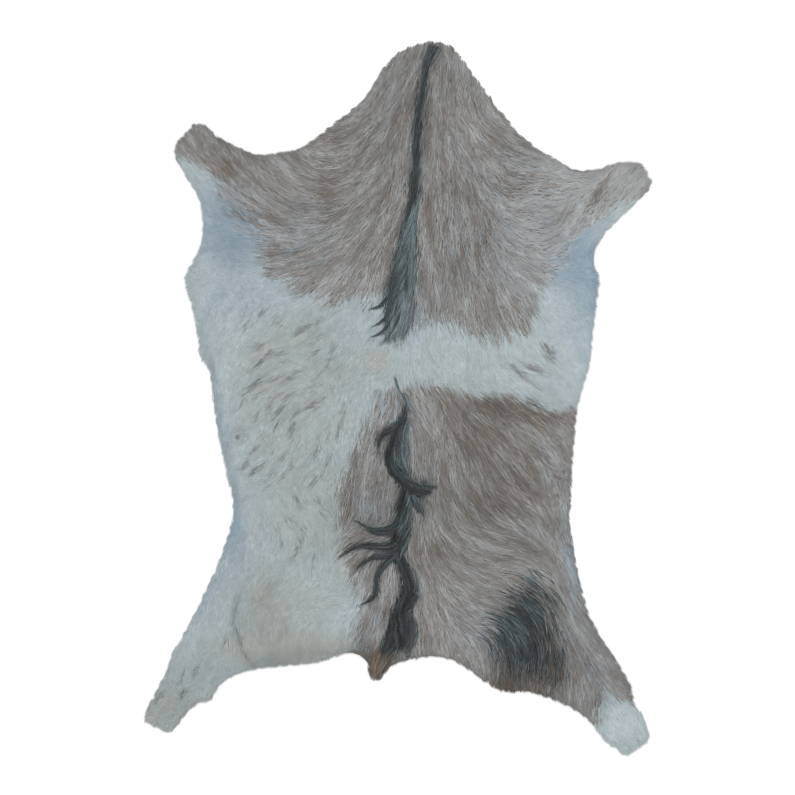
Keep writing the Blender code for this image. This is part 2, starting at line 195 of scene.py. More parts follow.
# How the hair lies, read off the coat with a comb: x and y in millimetres from the rug's middle,
# and the angle of the tips from the tail's direction, in degrees, towards +X positive
combing = {
    "leftNeck": [
        (3, 459, -25), (-18, 403, -28), (-53, 375, -45), (-78, 375, -70), (-102, 365, -92),
        (-109, 347, -100), (14, 417, -14), (3, 375, -18), (-18, 347, -28), (-46, 347, -42),
        (-67, 312, -55), (0, 305, -14), (-46, 281, -38), (-22, 259, -26), (-11, 211, -16)],
    "leftForeleg": [
        (-140, 347, -135), (-179, 333, -140), (-214, 340, -142), (-246, 354, -148),
        (-280, 361, -150), (-301, 351, -140), (-249, 329, -140), (-284, 326, -138),
        (-263, 291, -138), (-210, 305, -135), (-186, 281, -130), (-162, 305, -133),
        (-127, 294, -120), (-228, 256, -128), (-256, 235, -115)],
    "leftShoulder": [
        (-109, 305, -100), (-92, 323, -88), (-92, 281, -72), (-116, 259, -90), (-151, 259, -112),
        (-190, 255, -118), (-162, 224, -92), (-127, 224, -74), (-190, 221, -96), (-92, 235, -58),
        (-70, 259, -46), (-57, 211, -37), (-92, 200, -54), (-140, 189, -70), (-175, 196, -84),
        (-172, 168, -74), (-228, 207, -100), (-260, 190, -75), (-283, 172, -60)],
    "leftFlank": [
        (-232, 172, -52), (-256, 130, -32), (-273, 109, -15), (-221, 137, -42), (-197, 126, -46),
        (-175, 148, -55), (-137, 144, -48), (-92, 151, -42), (-64, 158, -30), (-36, 158, -16),
        (-70, 116, -28), (-134, 95, -50), (-168, 102, -46), (-214, 88, -36), (-249, 88, -20),
        (-120, 74, -58), (-196, 67, -56), (-81, 74, -35), (-53, 74, -28), (-162, 49, -74),
        (-196, 45, -50), (-232, 46, -15), (-109, 42, -56), (-67, 39, -30), (-32, 42, -58),
        (-186, 18, -66), (-154, 28, -60), (-210, 8, -52), (-242, 4, -5), (-120, -3, -64),
        (-74, -3, -12), (-39, -3, -15), (-151, -3, -55), (-176, -21, -42), (-200, -27, -36),
        (-137, -42, -30), (-151, -49, -8), (-109, -45, -18), (-70, -45, -6), (-42, -52, -12),
        (-221, -73, -35), (-242, -45, 8), (-200, -84, -55), (-162, -80, -22), (-116, -84, -35),
        (-88, -87, -15), (-203, -104, -60), (-162, -112, -45), (-120, -118, -40),
        (-88, -129, -12), (-46, -115, -12), (-18, -108, -5), (-186, -129, -75), (-221, -115, -30)],
    "leftThigh": [
        (-221, -157, -5), (-186, -157, -15), (-151, -143, 30), (-123, -154, 50), (-102, -171, 40),
        (-161, -174, 35), (-141, -192, 48), (-164, -199, 5), (-148, -217, -58), (-123, -206, -30),
        (-95, -199, -15), (-193, -213, -14), (-221, -206, -10), (-123, -248, 3), (-98, -242, 15),
        (-151, -252, -14), (-176, -244, -20), (-202, -255, -38), (-217, -269, -38),
        (-225, -290, -12), (-227, -314, 4), (-218, -339, 20), (-207, -360, 28), (-190, -368, 24),
        (-203, -308, 5), (-188, -287, -48), (-165, -272, -70), (-179, -308, -18),
        (-176, -336, 12), (-160, -293, -40), (-155, -321, -6), (-148, -353, 8), (-133, -293, -60),
        (-123, -311, -30), (-123, -346, -2), (-109, -283, -82), (-84, -280, -88),
        (-98, -318, -18), (-84, -346, -14), (-134, -266, -50), (-106, -266, -70)],
    "leftHindLeg": [
        (-237, -220, -25), (-252, -262, -28), (-263, -297, -28), (-244, -297, -14),
        (-244, -332, -18), (-274, -322, -28), (-297, -356, -28), (-273, -361, -34),
        (-256, -367, -25), (-232, -370, 8), (-287, -389, -24), (-266, -398, -12),
        (-311, -419, -42), (-330, -434, -32), (-326, -454, -30), (-344, -447, -38)],
    "rightNeck": [
        (48, 487, -16), (73, 470, -4), (95, 442, 4), (118, 420, 10), (59, 431, -3), (83, 410, 5),
        (106, 384, 28), (59, 375, 0), (94, 351, 22), (126, 375, 42), (154, 382, 52),
        (140, 350, 50), (174, 357, 62), (70, 326, 8), (38, 326, -2), (80, 284, 5), (70, 235, 3),
        (38, 235, 0), (115, 259, 8), (115, 210, 8), (132, 259, 18)],
    "rightShoulder": [
        (164, 340, 72), (136, 326, 42), (118, 316, 28), (196, 342, 62), (230, 326, 66),
        (210, 326, 68), (164, 316, 74), (185, 316, 82), (203, 305, 96), (164, 291, 98),
        (143, 288, 50), (185, 291, 108), (213, 288, 74), (175, 273, 104), (210, 259, 82),
        (164, 252, 70), (188, 235, 78), (154, 235, 48), (188, 210, 72), (154, 204, 42),
        (175, 189, 60), (199, 182, 70), (140, 182, 30), (227, 186, 95)],
    "rightForeleg": [
        (210, 225, 106), (224, 235, 126), (234, 259, 140), (244, 273, 142), (235, 294, 96),
        (255, 305, 88), (248, 314, 80), (252, 252, 134), (276, 281, 150), (283, 308, 145),
        (301, 316, 138), (322, 322, 132), (342, 305, 128), (315, 287, 134), (290, 256, 136),
        (269, 238, 134), (223, 213, 118), (252, 200, 110), (269, 179, 90)],
    "rightFlank": [
        (140, 148, 24), (164, 161, 34), (199, 160, 54), (234, 160, 62), (262, 151, 60),
        (182, 134, 31), (168, 102, 28), (210, 134, 44), (223, 123, 42), (258, 123, 50),
        (245, 92, 38), (206, 88, 28), (269, 88, 30), (118, 113, 12), (94, 137, 4), (59, 137, 0),
        (31, 137, 0), (136, 84, 15), (101, 74, 15), (48, 74, 12), (20, 67, 8), (118, 59, 20),
        (146, 62, 27), (105, 39, 16), (129, 31, 32), (164, 39, 66), (188, 34, 68), (213, 56, 45),
        (188, 18, 54), (223, 20, 45), (245, 31, 40), (234, -3, 42), (70, 43, 22), (84, 46, 28),
        (48, 53, 18), (24, 39, 10), (38, 14, 32), (70, 8, 38), (6, 25, 5)],
    "rightRump": [
        (118, 1, 50), (140, -3, 55), (164, -17, 57), (199, -21, 58), (217, -28, 50),
        (234, -49, 40), (70, -27, 28), (48, -27, 12), (34, -28, 38), (118, -27, 42),
        (129, -49, 38), (164, -49, 45), (199, -62, 45), (223, -84, 28), (210, -118, 22),
        (164, -108, 45), (140, -108, 38), (94, -97, 18), (70, -94, 8), (45, -73, 0),
        (118, -132, 30), (188, -132, 54), (150, -143, 48), (90, -154, 30), (52, -164, 8),
        (27, -160, -2), (115, -154, 40), (192, -154, 48), (216, -167, 28), (228, -154, 0),
        (231, -185, 5), (140, -192, 70), (102, -192, 60), (77, -192, 44), (52, -204, 24),
        (27, -204, -4), (39, -230, 24), (64, -230, 42), (102, -230, 64), (153, -217, 80),
        (153, -242, 82), (190, -217, 62), (203, -242, 56), (216, -204, 30), (221, -230, 28),
        (241, -227, 15)],
    "rightHaunch": [
        (235, -267, 25), (210, -267, 40), (185, -270, 52), (165, -280, 58), (127, -267, 77),
        (90, -262, 60), (59, -267, 26), (36, -283, 2), (64, -293, 25), (95, -290, 54),
        (127, -300, 78), (146, -302, 55), (130, -315, 66), (112, -322, 74), (92, -321, 45),
        (146, -325, 42), (165, -318, 42), (190, -305, 36), (216, -311, 22), (126, -346, 16),
        (140, -346, 25), (165, -343, 20), (190, -343, 12), (216, -346, 3), (134, -371, 3),
        (153, -381, 0), (178, -368, -4), (203, -371, -8), (216, -395, -14), (115, -368, 20),
        (97, -356, 28), (77, -346, 18), (52, -343, 8), (32, -349, 0), (14, -356, -12)],
    "rightHindLeg": [
        (241, -318, 32), (260, -318, 40), (279, -356, 40), (241, -356, 18), (266, -381, 26),
        (241, -393, 8), (253, -419, -3), (279, -419, -5), (291, -381, 42), (307, -388, 48),
        (316, -409, 65), (291, -419, 32), (304, -444, 32), (329, -456, 32), (316, -482, 30),
        (279, -451, -8)],
    "besideMane": [
        (-48, -154, -3), (-70, -157, -8), (-25, -143, -3), (-32, -192, -70), (-60, -192, -60),
        (-57, -223, -45), (-78, -224, -55), (-50, -241, -25), (-57, -259, -12), (-66, -272, -28),
        (-22, -255, -4), (-22, -293, -5), (-46, -328, -20), (-60, -346, -20), (-34, -346, -12),
        (-31, -381, -15), (-14, -59, -20), (-25, -31, -25)],
}

# How near a reading has to be before it alone decides, in metres, and how fast the others fade
comb = {"reach": 0.010, "power": 2.0, "lengthReach": 0.02, "lengthPower": 1.5}

# Whorls round the two teats: x mm, y mm, radius mm, and 1 where the hair turns anticlockwise
whorls = [(-224, -54, 13, 1), (231, -104, 13, -1)]
# The ring is painted shade where the hair turns round each whorl; the eye is a darker dash at its middle.
whorl = {"inwards": 0.2, "ring": 0.8, "ringWidth": 2.0, "ringPaintedShade": 0.22, "eye": (1.8, 4.5, -15),
         "eyeShade": 0.45}

# Length of the hair, in columns (x mm, y mm, length mm)
hairLengths = [
    (46, 480, 22), (20, 380, 26), (120, 380, 22), (-60, 370, 22), (20, 250, 28), (-110, 300, 22),
    (150, 290, 22), (-240, 330, 15), (-300, 360, 13), (300, 300, 15), (345, 305, 12), (-245, 230, 14),
    (250, 195, 14), (-180, 220, 22), (200, 200, 20), (-80, 160, 26), (130, 120, 28), (-240, 110, 24),
    (255, 100, 22), (-150, 20, 36), (-210, -60, 32), (80, 40, 34), (200, 40, 30), (100, -80, 32),
    (200, -80, 28), (110, -200, 30), (225, -190, 20), (-70, -150, 30), (-150, -170, 34),
    (-228, -170, 18), (-170, -300, 36), (-110, -330, 34), (-270, -320, 22), (-320, -430, 14),
    (60, -320, 32), (170, -320, 40), (190, -390, 30), (270, -380, 24), (315, -470, 16),
    (-35, -380, 18), (-224, -54, 8), (-232, -60, 8), (231, -104, 8), (238, -110, 8)]

# Strokes of darker hair in the white of the flanks and thigh, lying with the coat, in columns
# (x mm, y mm, half length mm, half width mm, depth)
darkStrokes = [
    (-193, 118, 7, 1.8, 0.7), (-169, 108, 8, 2, 0.5), (-168, 101, 7, 1.8, 0.5),
    (-214, 98, 7, 1.8, 0.5), (-136, 95, 12, 2, 0.8), (-118, 101, 8, 1.8, 0.5), (-116, 80, 9, 1.8, 0.6),
    (-118, 63, 7, 2.5, 0.5), (-95, 67, 7, 2, 0.6), (-98, 50, 8, 2, 0.7), (-109, 38, 12, 2.5, 0.7),
    (-84, 34, 8, 2.5, 0.35), (-199, 70, 7, 2, 0.8), (-182, 62, 6, 1.6, 0.8), (-168, 63, 8, 1.8, 0.7),
    (-195, 49, 14, 2, 1.0), (-153, 60, 8, 1.5, 0.4), (-161, 50, 7, 1.5, 0.5), (-157, 43, 6, 1.5, 0.4),
    (-176, 27, 8, 1.8, 0.7), (-150, 31, 10, 2, 0.8), (-207, 14, 13, 2, 0.9), (-197, 3, 8, 1.8, 0.6),
    (-218, -7, 7, 2, 0.6), (-178, 0, 7, 1.8, 0.7), (-158, 1, 8, 2, 0.7), (-119, 11, 9, 2, 0.5),
    (-122, -11, 18, 1.8, 0.8), (-171, -22, 13, 2.2, 1.0), (-182, -15, 6, 3, 0.45),
    (-199, -27, 7, 2, 0.5), (-193, -56, 6, 1.8, 0.4), (-172, -43, 13, 1.5, 0.5),
    (-151, -49, 8, 1.8, 0.9), (-83, -46, 10, 2.2, 0.9), (-78, -18, 11, 1.8, 0.4),
    (-144, -22, 9, 1.5, 0.5), (-224, -53, 4, 1.6, 1.3), (-98, -53, 8, 1.8, 0.4),
    (-202, -71, 7, 1.8, 0.6), (-214, -94, 7, 2.2, 0.8), (-202, -101, 12, 2.2, 0.9),
    (-162, -84, 9, 1.6, 0.7), (-179, -109, 8, 1.6, 0.6), (-181, -81, 9, 1.8, 0.4),
    (-154, -98, 8, 1.6, 0.5), (-158, -106, 14, 1.8, 0.55), (-112, -70, 9, 1.8, 0.6),
    (-122, -87, 6, 1.8, 0.5), (-101, -92, 8, 1.6, 0.7), (-118, -115, 13, 1.6, 0.8),
    (-140, -147, 8, 1.6, 0.7), (-111, -147, 11, 1.6, 0.6), (-104, -162, 9, 1.6, 0.5),
    (-151, -175, 9, 2.2, 0.6), (-134, -182, 7, 2.2, 0.6), (-139, -209, 17, 1.6, 0.9),
    (-164, -196, 13, 1.8, 0.5), (-188, -125, 6, 1.8, 0.5), (-119, -242, 14, 1.4, 0.5),
    (-216, -140, 5, 2, 0.6), (-302, -414, 7, 2, 0.8), (-336, -420, 7, 2, 0.4),
    (-241, -342, 9, 3, 0.35), (-283, -384, 16, 1.6, 0.5), (-305, -395, 9, 2, 0.4),
    # The first two strokes of the next line darken the crease down the left thigh, as painted shade.
    (-229, -300, 20, 1.6, 0.5), (-220, -345, 20, 1.6, 0.5), (211, 67, 10, 2.6, 1.1),
    (214, 56, 7, 3.4, 1.1), (167, 39, 11, 2.4, 1.1), (185, 42, 10, 2.4, 1.1), (174, 34, 9, 2.2, 1.0),
    (199, 38, 9, 2.2, 0.9), (190, 20, 10, 2, 0.35)]
strokeSpread = {"depth": 1.1, "width": 1.5}

# Where the dark coat ends and the white begins, each a loop in millimetres
darkFields = {
    "neckAndShoulders": [
        (-320, 335), (-305, 333), (-287, 329), (-267, 319), (-257, 302), (-244, 275), (-230, 250),
        (-208, 229), (-200, 214), (-194, 191), (-183, 168), (-161, 162), (-154, 147), (-133, 141),
        (-113, 137), (-95, 127), (-71, 134), (-49, 133), (-29, 137), (-18, 123), (-4, 84),
        (20, 92), (38, 99), (62, 102), (83, 92), (108, 84), (132, 74), (150, 78), (168, 84),
        (182, 92), (196, 109), (202, 127), (206, 147), (217, 165), (224, 179), (230, 193),
        (237, 207), (248, 225), (266, 239), (286, 252), (322, 273), (342, 280), (380, 290),
        (380, 360), (200, 420), (100, 520), (0, 520), (-120, 420), (-300, 420), (-340, 360)],
    "rump": [
        (0, 12), (-21, 7), (-35, -17), (-49, -41), (-57, -63), (-70, -83), (-77, -105),
        (-84, -129), (-85, -153), (-84, -175), (-84, -199), (-81, -220), (-73, -244), (-64, -269),
        (-56, -287), (-62, -314), (-66, -339), (-64, -360), (-64, -400), (-40, -412),
        (20, -420), (150, -440), (262, -470), (280, -440), (291, -424), (308, -423),
        (345, -427), (345, -400), (300, -300), (275, -200), (275, -100), (270, -14), (251, -14),
        (230, -17), (210, -20), (192, -9), (174, 0), (154, 4), (108, 3), (90, 6), (62, 14),
        (28, 17)],
}
slateHaunch = [
    (156, -282), (172, -262), (190, -262), (205, -282), (213, -308), (218, -345), (228, -370),
    (234, -398), (214, -406), (181, -402), (152, -400), (139, -382), (134, -353), (137, -330),
    (149, -314), (152, -294)]

# Stretches of paler dark hair at the right shoulder: x mm, y mm, half width mm, half height mm
palePatches = [(180, 235, 60, 80), (310, 300, 80, 70)]

# Patches of another tint in the coat, in columns
# (x mm, y mm, half width mm, half height mm, turn in degrees, strength)
tintPatches = {
    "blue": [
        (-236, 236, 36, 50, 20, 1.0), (251, 190, 32, 40, -20, 1.0), (-229, -185, 11, 40, 0, 0.9),
        (249, -215, 11, 45, -8, 1.0), (-210, 150, 50, 35, 0, 0.35), (268, 135, 24, 60, 0, 0.7),
        # (-250, -40) on the next line tints the left rim blue under its painted shade.
        (-250, -40, 12, 100, 10, 0.38), (-262, -250, 14, 60, -30, 0.4), (244, -227, 12, 60, 8, 1.0),
        (-137, 221, 34, 34, 0, 0.3), (108, -325, 30, 22, 0, 0.5), (-35, -154, 30, 16, 0, 0.35),
        (10, -56, 13, 30, 0, 0.5), (-10, -20, 13, 18, 0, 0.8), (170, 240, 80, 90, 0, 0.2),
        (-42, -320, 18, 40, 0, 0.4), (22, 120, 14, 36, 0, 0.5), (270, -360, 26, 60, 20, 0.3),
        (275, 160, 16, 50, 0, 1.0), (250, -290, 16, 36, -10, 0.4), (210, -92, 12, 22, 0, 0.4)],
    "cream": [
        (-188, -305, 26, 52, 0, 0.7), (-150, -300, 50, 50, 0, 0.45), (-32, 50, 22, 16, 0, 0.6),
        # (-160, -350) on the next line gives the thigh's rim the cream cast that goes with its painted shade.
        (-120, -160, 60, 70, 0, 0.4), (-150, 10, 80, 100, 0, 0.4), (-160, -350, 85, 24, 0, 0.8),
        (-330, -440, 50, 40, 0, 0.5), (110, 45, 110, 30, 0, 0.2), (-80, -215, 14, 30, 0, 0.6)],
    "brown": [
        (175, -80, 40, 40, 0, 0.45), (-262, 340, 30, 20, 0, 0.2), (-242, 322, 10, 16, -20, 0.9),
        (-102, 305, 12, 38, 0, 0.5), (-95, 362, 22, 12, 0, 0.5), (283, 291, 6, 26, -30, 0.9),
        (210, 291, 14, 9, 0, 0.8), (160, 295, 28, 16, 0, 0.8), (165, -20, 78, 17, -6, 1.0),
        (136, -150, 30, 22, 0, 0.6), (129, -62, 50, 36, 0, 0.6), (48, -218, 26, 18, 0, 0.5),
        (150, -110, 40, 30, 0, 0.6), (-78, -160, 12, 44, 0, 0.35), (-74, -222, 16, 14, 0, 0.7),
        (-32, -376, 22, 26, 0, 1.0), (165, -405, 45, 16, 0, 0.9), (218, -385, 13, 30, 0, 0.6),
        (62, 250, 22, 60, 0, 0.3), (0, 220, 30, 60, 0, 0.3), (110, 235, 26, 60, 0, 0.5),
        (-215, 262, 10, 30, 35, 0.3), (165, -120, 36, 40, 0, 0.6)]}

# Brighter and darker stretches of the coat: mostly its own tone, and in the rows marked below painted
# shade along the rims, down the crease of the left thigh and round the roots of the mane's flicks. In columns
# (x mm, y mm, half width mm, half height mm, turn in degrees, factor)
toneAndPaintedShadePatches = {
    "neck": [
        (60, 470, 60, 50, 0, 0.89), (0, 370, 50, 70, 0, 0.95), (85, 360, 30, 60, 0, 1.08),
        # The first row of the next line is painted shade along the rim of the crown.
        (48, 492, 48, 12, 0, 0.8), (-11, 399, 14, 22, 0, 0.93), (52, 357, 14, 28, 0, 0.93)],
    "shoulders": [
        (170, 235, 60, 70, 0, 1.1), (-60, 180, 60, 50, 0, 1.04), (-150, 280, 50, 40, 0, 0.99),
        (-150, 280, 50, 40, 0, 1.04), (160, 330, 40, 30, 0, 1.02), (100, 193, 40, 40, 0, 0.87),
        (-110, 150, 60, 25, 0, 1.1), (170, 135, 45, 40, 0, 1.12), (60, 220, 15, 35, 0, 1.12),
        (220, 275, 30, 30, 0, 1.1), (120, 310, 40, 40, 0, 0.95), (-150, 200, 45, 16, 0, 1.07),
        (164, 301, 28, 12, 0, 0.94), (76, 196, 12, 26, 0, 1.08)],
    "forelegs": [
        (290, 300, 60, 60, 0, 1.1), (-236, 236, 36, 50, 0, 0.86), (-242, 325, 30, 40, 0, 0.96),
        (-236, 236, 36, 50, 0, 1.1), (300, 305, 60, 50, 0, 1.08), (255, 186, 36, 44, 0, 1.02),
        (345, 310, 20, 20, 0, 0.9), (238, 229, 14, 20, -20, 1.07)],
    "flanks": [
        (-165, 10, 70, 110, 0, 0.97), (-90, 60, 50, 60, 0, 0.97), (150, 62, 120, 40, 0, 1.08),
        # The last row of the next line and the last two of the line after it are painted shade along the left
        # rim and in the notch at the hip.
        (265, 90, 30, 60, 0, 1.06), (-250, 40, 30, 110, 0, 1.06), (-250, -40, 11, 100, 10, 0.86),
        (268, 115, 10, 45, 0, 1.07), (-274, 100, 9, 100, 10, 0.93), (-230, -136, 8, 14, 0, 0.86)],
    "rump": [
        (-46, -143, 40, 60, 0, 0.91), (60, -200, 60, 50, 0, 0.93), (155, -20, 58, 18, 0, 0.86),
        (-46, -143, 40, 50, 0, 0.94), (60, -200, 50, 40, 0, 1.07), (28, -130, 22, 26, 0, 0.8),
        (140, -115, 40, 30, 0, 0.93), (230, -230, 20, 90, 0, 1.02), (-40, -160, 44, 25, 0, 0.96),
        (100, -140, 48, 46, 0, 0.89), (-140, -185, 50, 50, 0, 0.95), (-46, -90, 30, 45, 0, 1.08),
        # The last row of the next line is a painted shadow round the roots of the mane's flicks, and the
        # middle row of the line after it is painted shade along the right rim.
        (180, -250, 50, 20, 0, 1.12), (210, -92, 14, 26, 0, 1.14), (-13, -231, 12, 9, 0, 0.66),
        (36, -155, 20, 22, 0, 0.9), (246, -150, 7, 50, 0, 0.92), (236, -24, 14, 12, 0, 1.12),
        (-10, -20, 14, 18, 0, 1.12)],
    "thigh": [
        # The middle row of the next line is painted shade along the rim of the thigh; its last row, the line
        # after it and the first row of the line after that are painted shade down the crease of the left
        # thigh.
        (-188, -305, 30, 60, 0, 0.92), (-140, -366, 90, 14, 9, 0.76), (-225, -278, 3, 18, -24, 0.88),
        (-231, -304, 3, 20, 0, 0.84), (-228, -332, 3, 18, 12, 0.82), (-216, -354, 3, 16, 32, 0.82),
        (-204, -373, 3, 12, 32, 0.84), (-200, -290, 22, 45, 0, 0.95)],
    "haunch": [
        (95, -320, 60, 45, 0, 1.15), (186, -342, 52, 60, 0, 0.63), (-32, -376, 22, 26, 0, 0.78),
        (222, -378, 10, 24, 0, 0.8), (-42, -300, 18, 45, 0, 1.15), (152, -404, 18, 11, 0, 0.84),
        (188, -405, 16, 7, 0, 1.14)],
    "hindLegs": [
        (-310, -410, 50, 50, 0, 0.85), (-250, -297, 30, 70, 0, 0.94), (318, -465, 40, 40, 0, 1.06),
        (318, -465, 36, 36, 0, 1.08), (270, -380, 30, 60, 0, 1.06), (240, -310, 12, 60, 0, 1.12),
        # The first and last rows of the next line are painted shade along the rims of the feet.
        (-332, -440, 40, 30, 0, 0.9), (280, -418, 10, 28, 12, 0.76), (318, -486, 22, 9, 0, 0.9)]}

# Shaggier stretches, where the hairs lie less even, in columns
# (x mm, y mm, half width mm, half height mm, strength)
shagPatches = [
    (175, -320, 70, 80, 1.0), (130, -130, 110, 100, 0.5), (30, -260, 90, 110, 0.5),
    (-170, -300, 50, 60, 0.5), (110, 60, 110, 35, 0.5), (-150, -20, 90, 120, 0.35),
    (270, -390, 60, 80, 0.7)]


# Readings at scattered points, blended: each counts for more the nearer it is
def blendReadings(rows, reach, power, x, y):
    total, sums = np.zeros(x.shape), [np.zeros(x.shape) for _ in rows[0][2:]]
    for px, py, *values in rows:
        weight = ((x - px) ** 2 + (y - py) ** 2 + reach ** 2) ** -power
        total += weight
        for share, value in zip(sums, values):
            share += weight * value
    return [share / total for share in sums]


# How strongly a patch covers a point: a flat-topped bell over its half width and half height, turned
def patchAt(x, y, px, py, halfWidth, halfHeight, turn=0):
    cosine, sine = math.cos(math.radians(turn)), math.sin(math.radians(turn))
    dx, dy = x / mm - px, y / mm - py
    across, along = dx * cosine + dy * sine, dy * cosine - dx * sine
    return np.exp(-0.5 * ((across / halfWidth) ** 2 + (along / halfHeight) ** 2) ** 1.5)


stage("reading the solid")
points, corners = solidOfRug()
rim = cutEdge(points, corners)
gridX, gridY = gridPoints()
fields = {"top": coatTopField(points, corners, gridX, gridY), "edge": insideDistance(gridX, gridY, rim)}

stage("combing the coat")
strokes = [(x * mm, y * mm, math.sin(math.radians(a)), -math.cos(math.radians(a)))
           for region in combing.values() for x, y, a in region]
fields["layX"], fields["layY"] = blendReadings(strokes, comb["reach"], comb["power"], gridX, gridY)
for px, py, radius, sense in whorls:
    dx, dy = gridX - px * mm, gridY - py * mm
    distance = np.hypot(dx, dy) + 1e-6
    share = np.exp(-(distance / (radius * mm)) ** 2)
    fields["layX"] = fields["layX"] * (1 - share) + share * (-sense * dy - whorl["inwards"] * dx) / distance
    fields["layY"] = fields["layY"] * (1 - share) + share * (sense * dx - whorl["inwards"] * dy) / distance
lengthRows = [(x * mm, y * mm, value * mm) for x, y, value in hairLengths]
fields["length"], = blendReadings(lengthRows, comb["lengthReach"], comb["lengthPower"], gridX, gridY)

stage("marking the coat")
neckLoop, rumpLoop = (smoothPath(loop, 4, closed=True) * mm for loop in darkFields.values())
fields["dark"] = np.maximum(insideDistance(gridX, gridY, neckLoop), insideDistance(gridX, gridY, rumpLoop))
fields["slate"] = insideDistance(gridX, gridY, smoothPath(slateHaunch, 4, closed=True) * mm)
for tint, patches in {**tintPatches, "shag": shagPatches}.items():
    fields[tint] = np.max([strength * patchAt(gridX, gridY, *place) for *place, strength in patches], axis=0)
fields["pale"] = sum(patchAt(gridX, gridY, *place) for place in palePatches)
# The shade field: the coat's own tone, times the painted shade of the patches above and of the whorls' rings.
fields["shade"] = np.ones(gridX.shape)
for *place, factor in (row for rows in toneAndPaintedShadePatches.values() for row in rows):
    fields["shade"] *= 1 + (factor - 1) * patchAt(gridX, gridY, *place)
# Painted shade in a ring round each whorl, and a darker dash at its middle
for px, py, radius, _ in whorls:
    distance = np.hypot(gridX / mm - px, gridY / mm - py)
    ring = np.exp(-((distance - whorl["ring"] * radius) / whorl["ringWidth"]) ** 2)
    fields["shade"] *= 1 - whorl["ringPaintedShade"] * ring
    fields["shade"] *= 1 - whorl["eyeShade"] * patchAt(gridX, gridY, px, py, *whorl["eye"])
fields["fleck"] = np.zeros(gridX.shape)
for px, py, halfLength, halfWidth, depth in darkStrokes:
    lie = math.degrees(math.atan2(float(lookUp(fields["layX"], px * mm, py * mm)),
                                  -float(lookUp(fields["layY"], px * mm, py * mm))))
    width = strokeSpread["width"] * halfWidth
    stroke = strokeSpread["depth"] * depth * patchAt(gridX, gridY, px, py, width, halfLength, lie)
    fields["fleck"] = np.maximum(fields["fleck"], stroke)

# Noise drawn out along the lay, as streaks: each cell is the mean of a coarser noise at places
# before and after it, stepped with the comb. Each kind has its cell and its reach in metres.
streakKinds = {"streak": (0.0035, 0.016), "cloud": (0.011, 0.030), "tinge": (0.008, 0.022)}


def streaks(cell, reach, dice, steps=6):
    noise = softNoise(gridX, gridY, cell, dice)
    total = noise.copy()
    for sense in (1, -1):
        x, y = gridX.copy(), gridY.copy()
        for _ in range(steps):
            layX, layY = lookUp(fields["layX"], x, y), lookUp(fields["layY"], x, y)
            size = np.hypot(layX, layY) + 1e-9
            x, y = x + sense * reach / steps * layX / size, y + sense * reach / steps * layY / size
            total += lookUp(noise, x, y)
    return total / total.std()


streakDice = np.random.default_rng(5)
for kind, (cell, reach) in streakKinds.items():
    fields[kind] = streaks(cell, reach, streakDice)

# The pigments of the hair as sRGB values. A hair's place in this row is the U of its map, and
# its brightness is the V.
pigments = {
    "bluish": (141, 158, 171), "white": (172, 184, 188), "cream": (166, 168, 160),
    "paleTaupe": (146, 148, 149), "taupe": (128, 126, 124), "brown": (102, 94, 85),
    "rust": (124, 108, 94), "teal": (98, 112, 116), "slate": (60, 67, 70), "black": (44, 45, 44)}
pigmentPlace = {name: 0.05 + 0.9 * k / (len(pigments) - 1) for k, name in enumerate(pigments)}
brightness = {"least": 0.3, "most": 1.7}
finish = {"lift": 1.30, "roughness": 0.70, "sleek": 0.16}      # lift: albedo over the colour seen
suede = {"clouds": 14.0, "nap": 900.0, "dark": (0.42, 0.32, 0.22, 1), "pale": (0.66, 0.55, 0.42, 1),
         "bump": 0.4, "napDepth": 0.0006}


# Which of several pigments a hair gets: its chance falls between the shares, laid end to end, or
# past them all, in the rest
def drawn(chance, shares, rest):
    place = np.full(chance.shape, pigmentPlace[rest])
    total = np.zeros(chance.shape)
    for name, share in shares.items():
        share = np.clip(share, 0, 1)
        place = np.where((chance >= total) & (chance < total + share), pigmentPlace[name], place)
        total = total + share
    return place


# Shares of the pigments in the white, the dark and the slate coat, how its patches and streaks
# change them, the width of its borders in metres, and the painted shade along the rim
marking = {
    "fleck": {"brown": 0.07, "teal": 0.25, "taupe": 0.55, "paleTaupe": 0.15}, "creamSpread": 0.10,
    "blueInDark": 0.45, "pale": 0.30, "paleStreak": 0.08, "paleTinge": 0.12, "palePatch": 0.45,
    "paleLostToBrown": 0.8, "brown": 0.05, "brownTinge": 0.04, "brownPatch": 0.25,
    "brownLostToPale": 0.7, "rustToBrown": 0.25, "towardsBrown": 0.75, "towardsBrownTinge": 0.10,
    "towardsPale": 0.6, "black": 0.12, "blackPatch": 0.10, "brownInSlate": 0.75, "teal": 0.16,
    "slateStreak": 0.10, "paleInSlate": 0.01, "slateBorder": (-0.020, 0.018),
    "slateBorderStreak": 0.006, "slateBorderCloud": 0.005, "borderScatter": 0.0050,
    "borderStreak": 0.0038, "tone": 0.06, "toneInWhite": 0.45, "bluishInDark": 0.80,
    # rim and the two after it: the width of the painted shade along the cut edge, and its depth in the dark
    # and the white coat
    "rim": 0.009, "rimPaintedShade": 0.26, "rimPaintedShadeInWhite": 0.12, "placeScatter": 0.010}


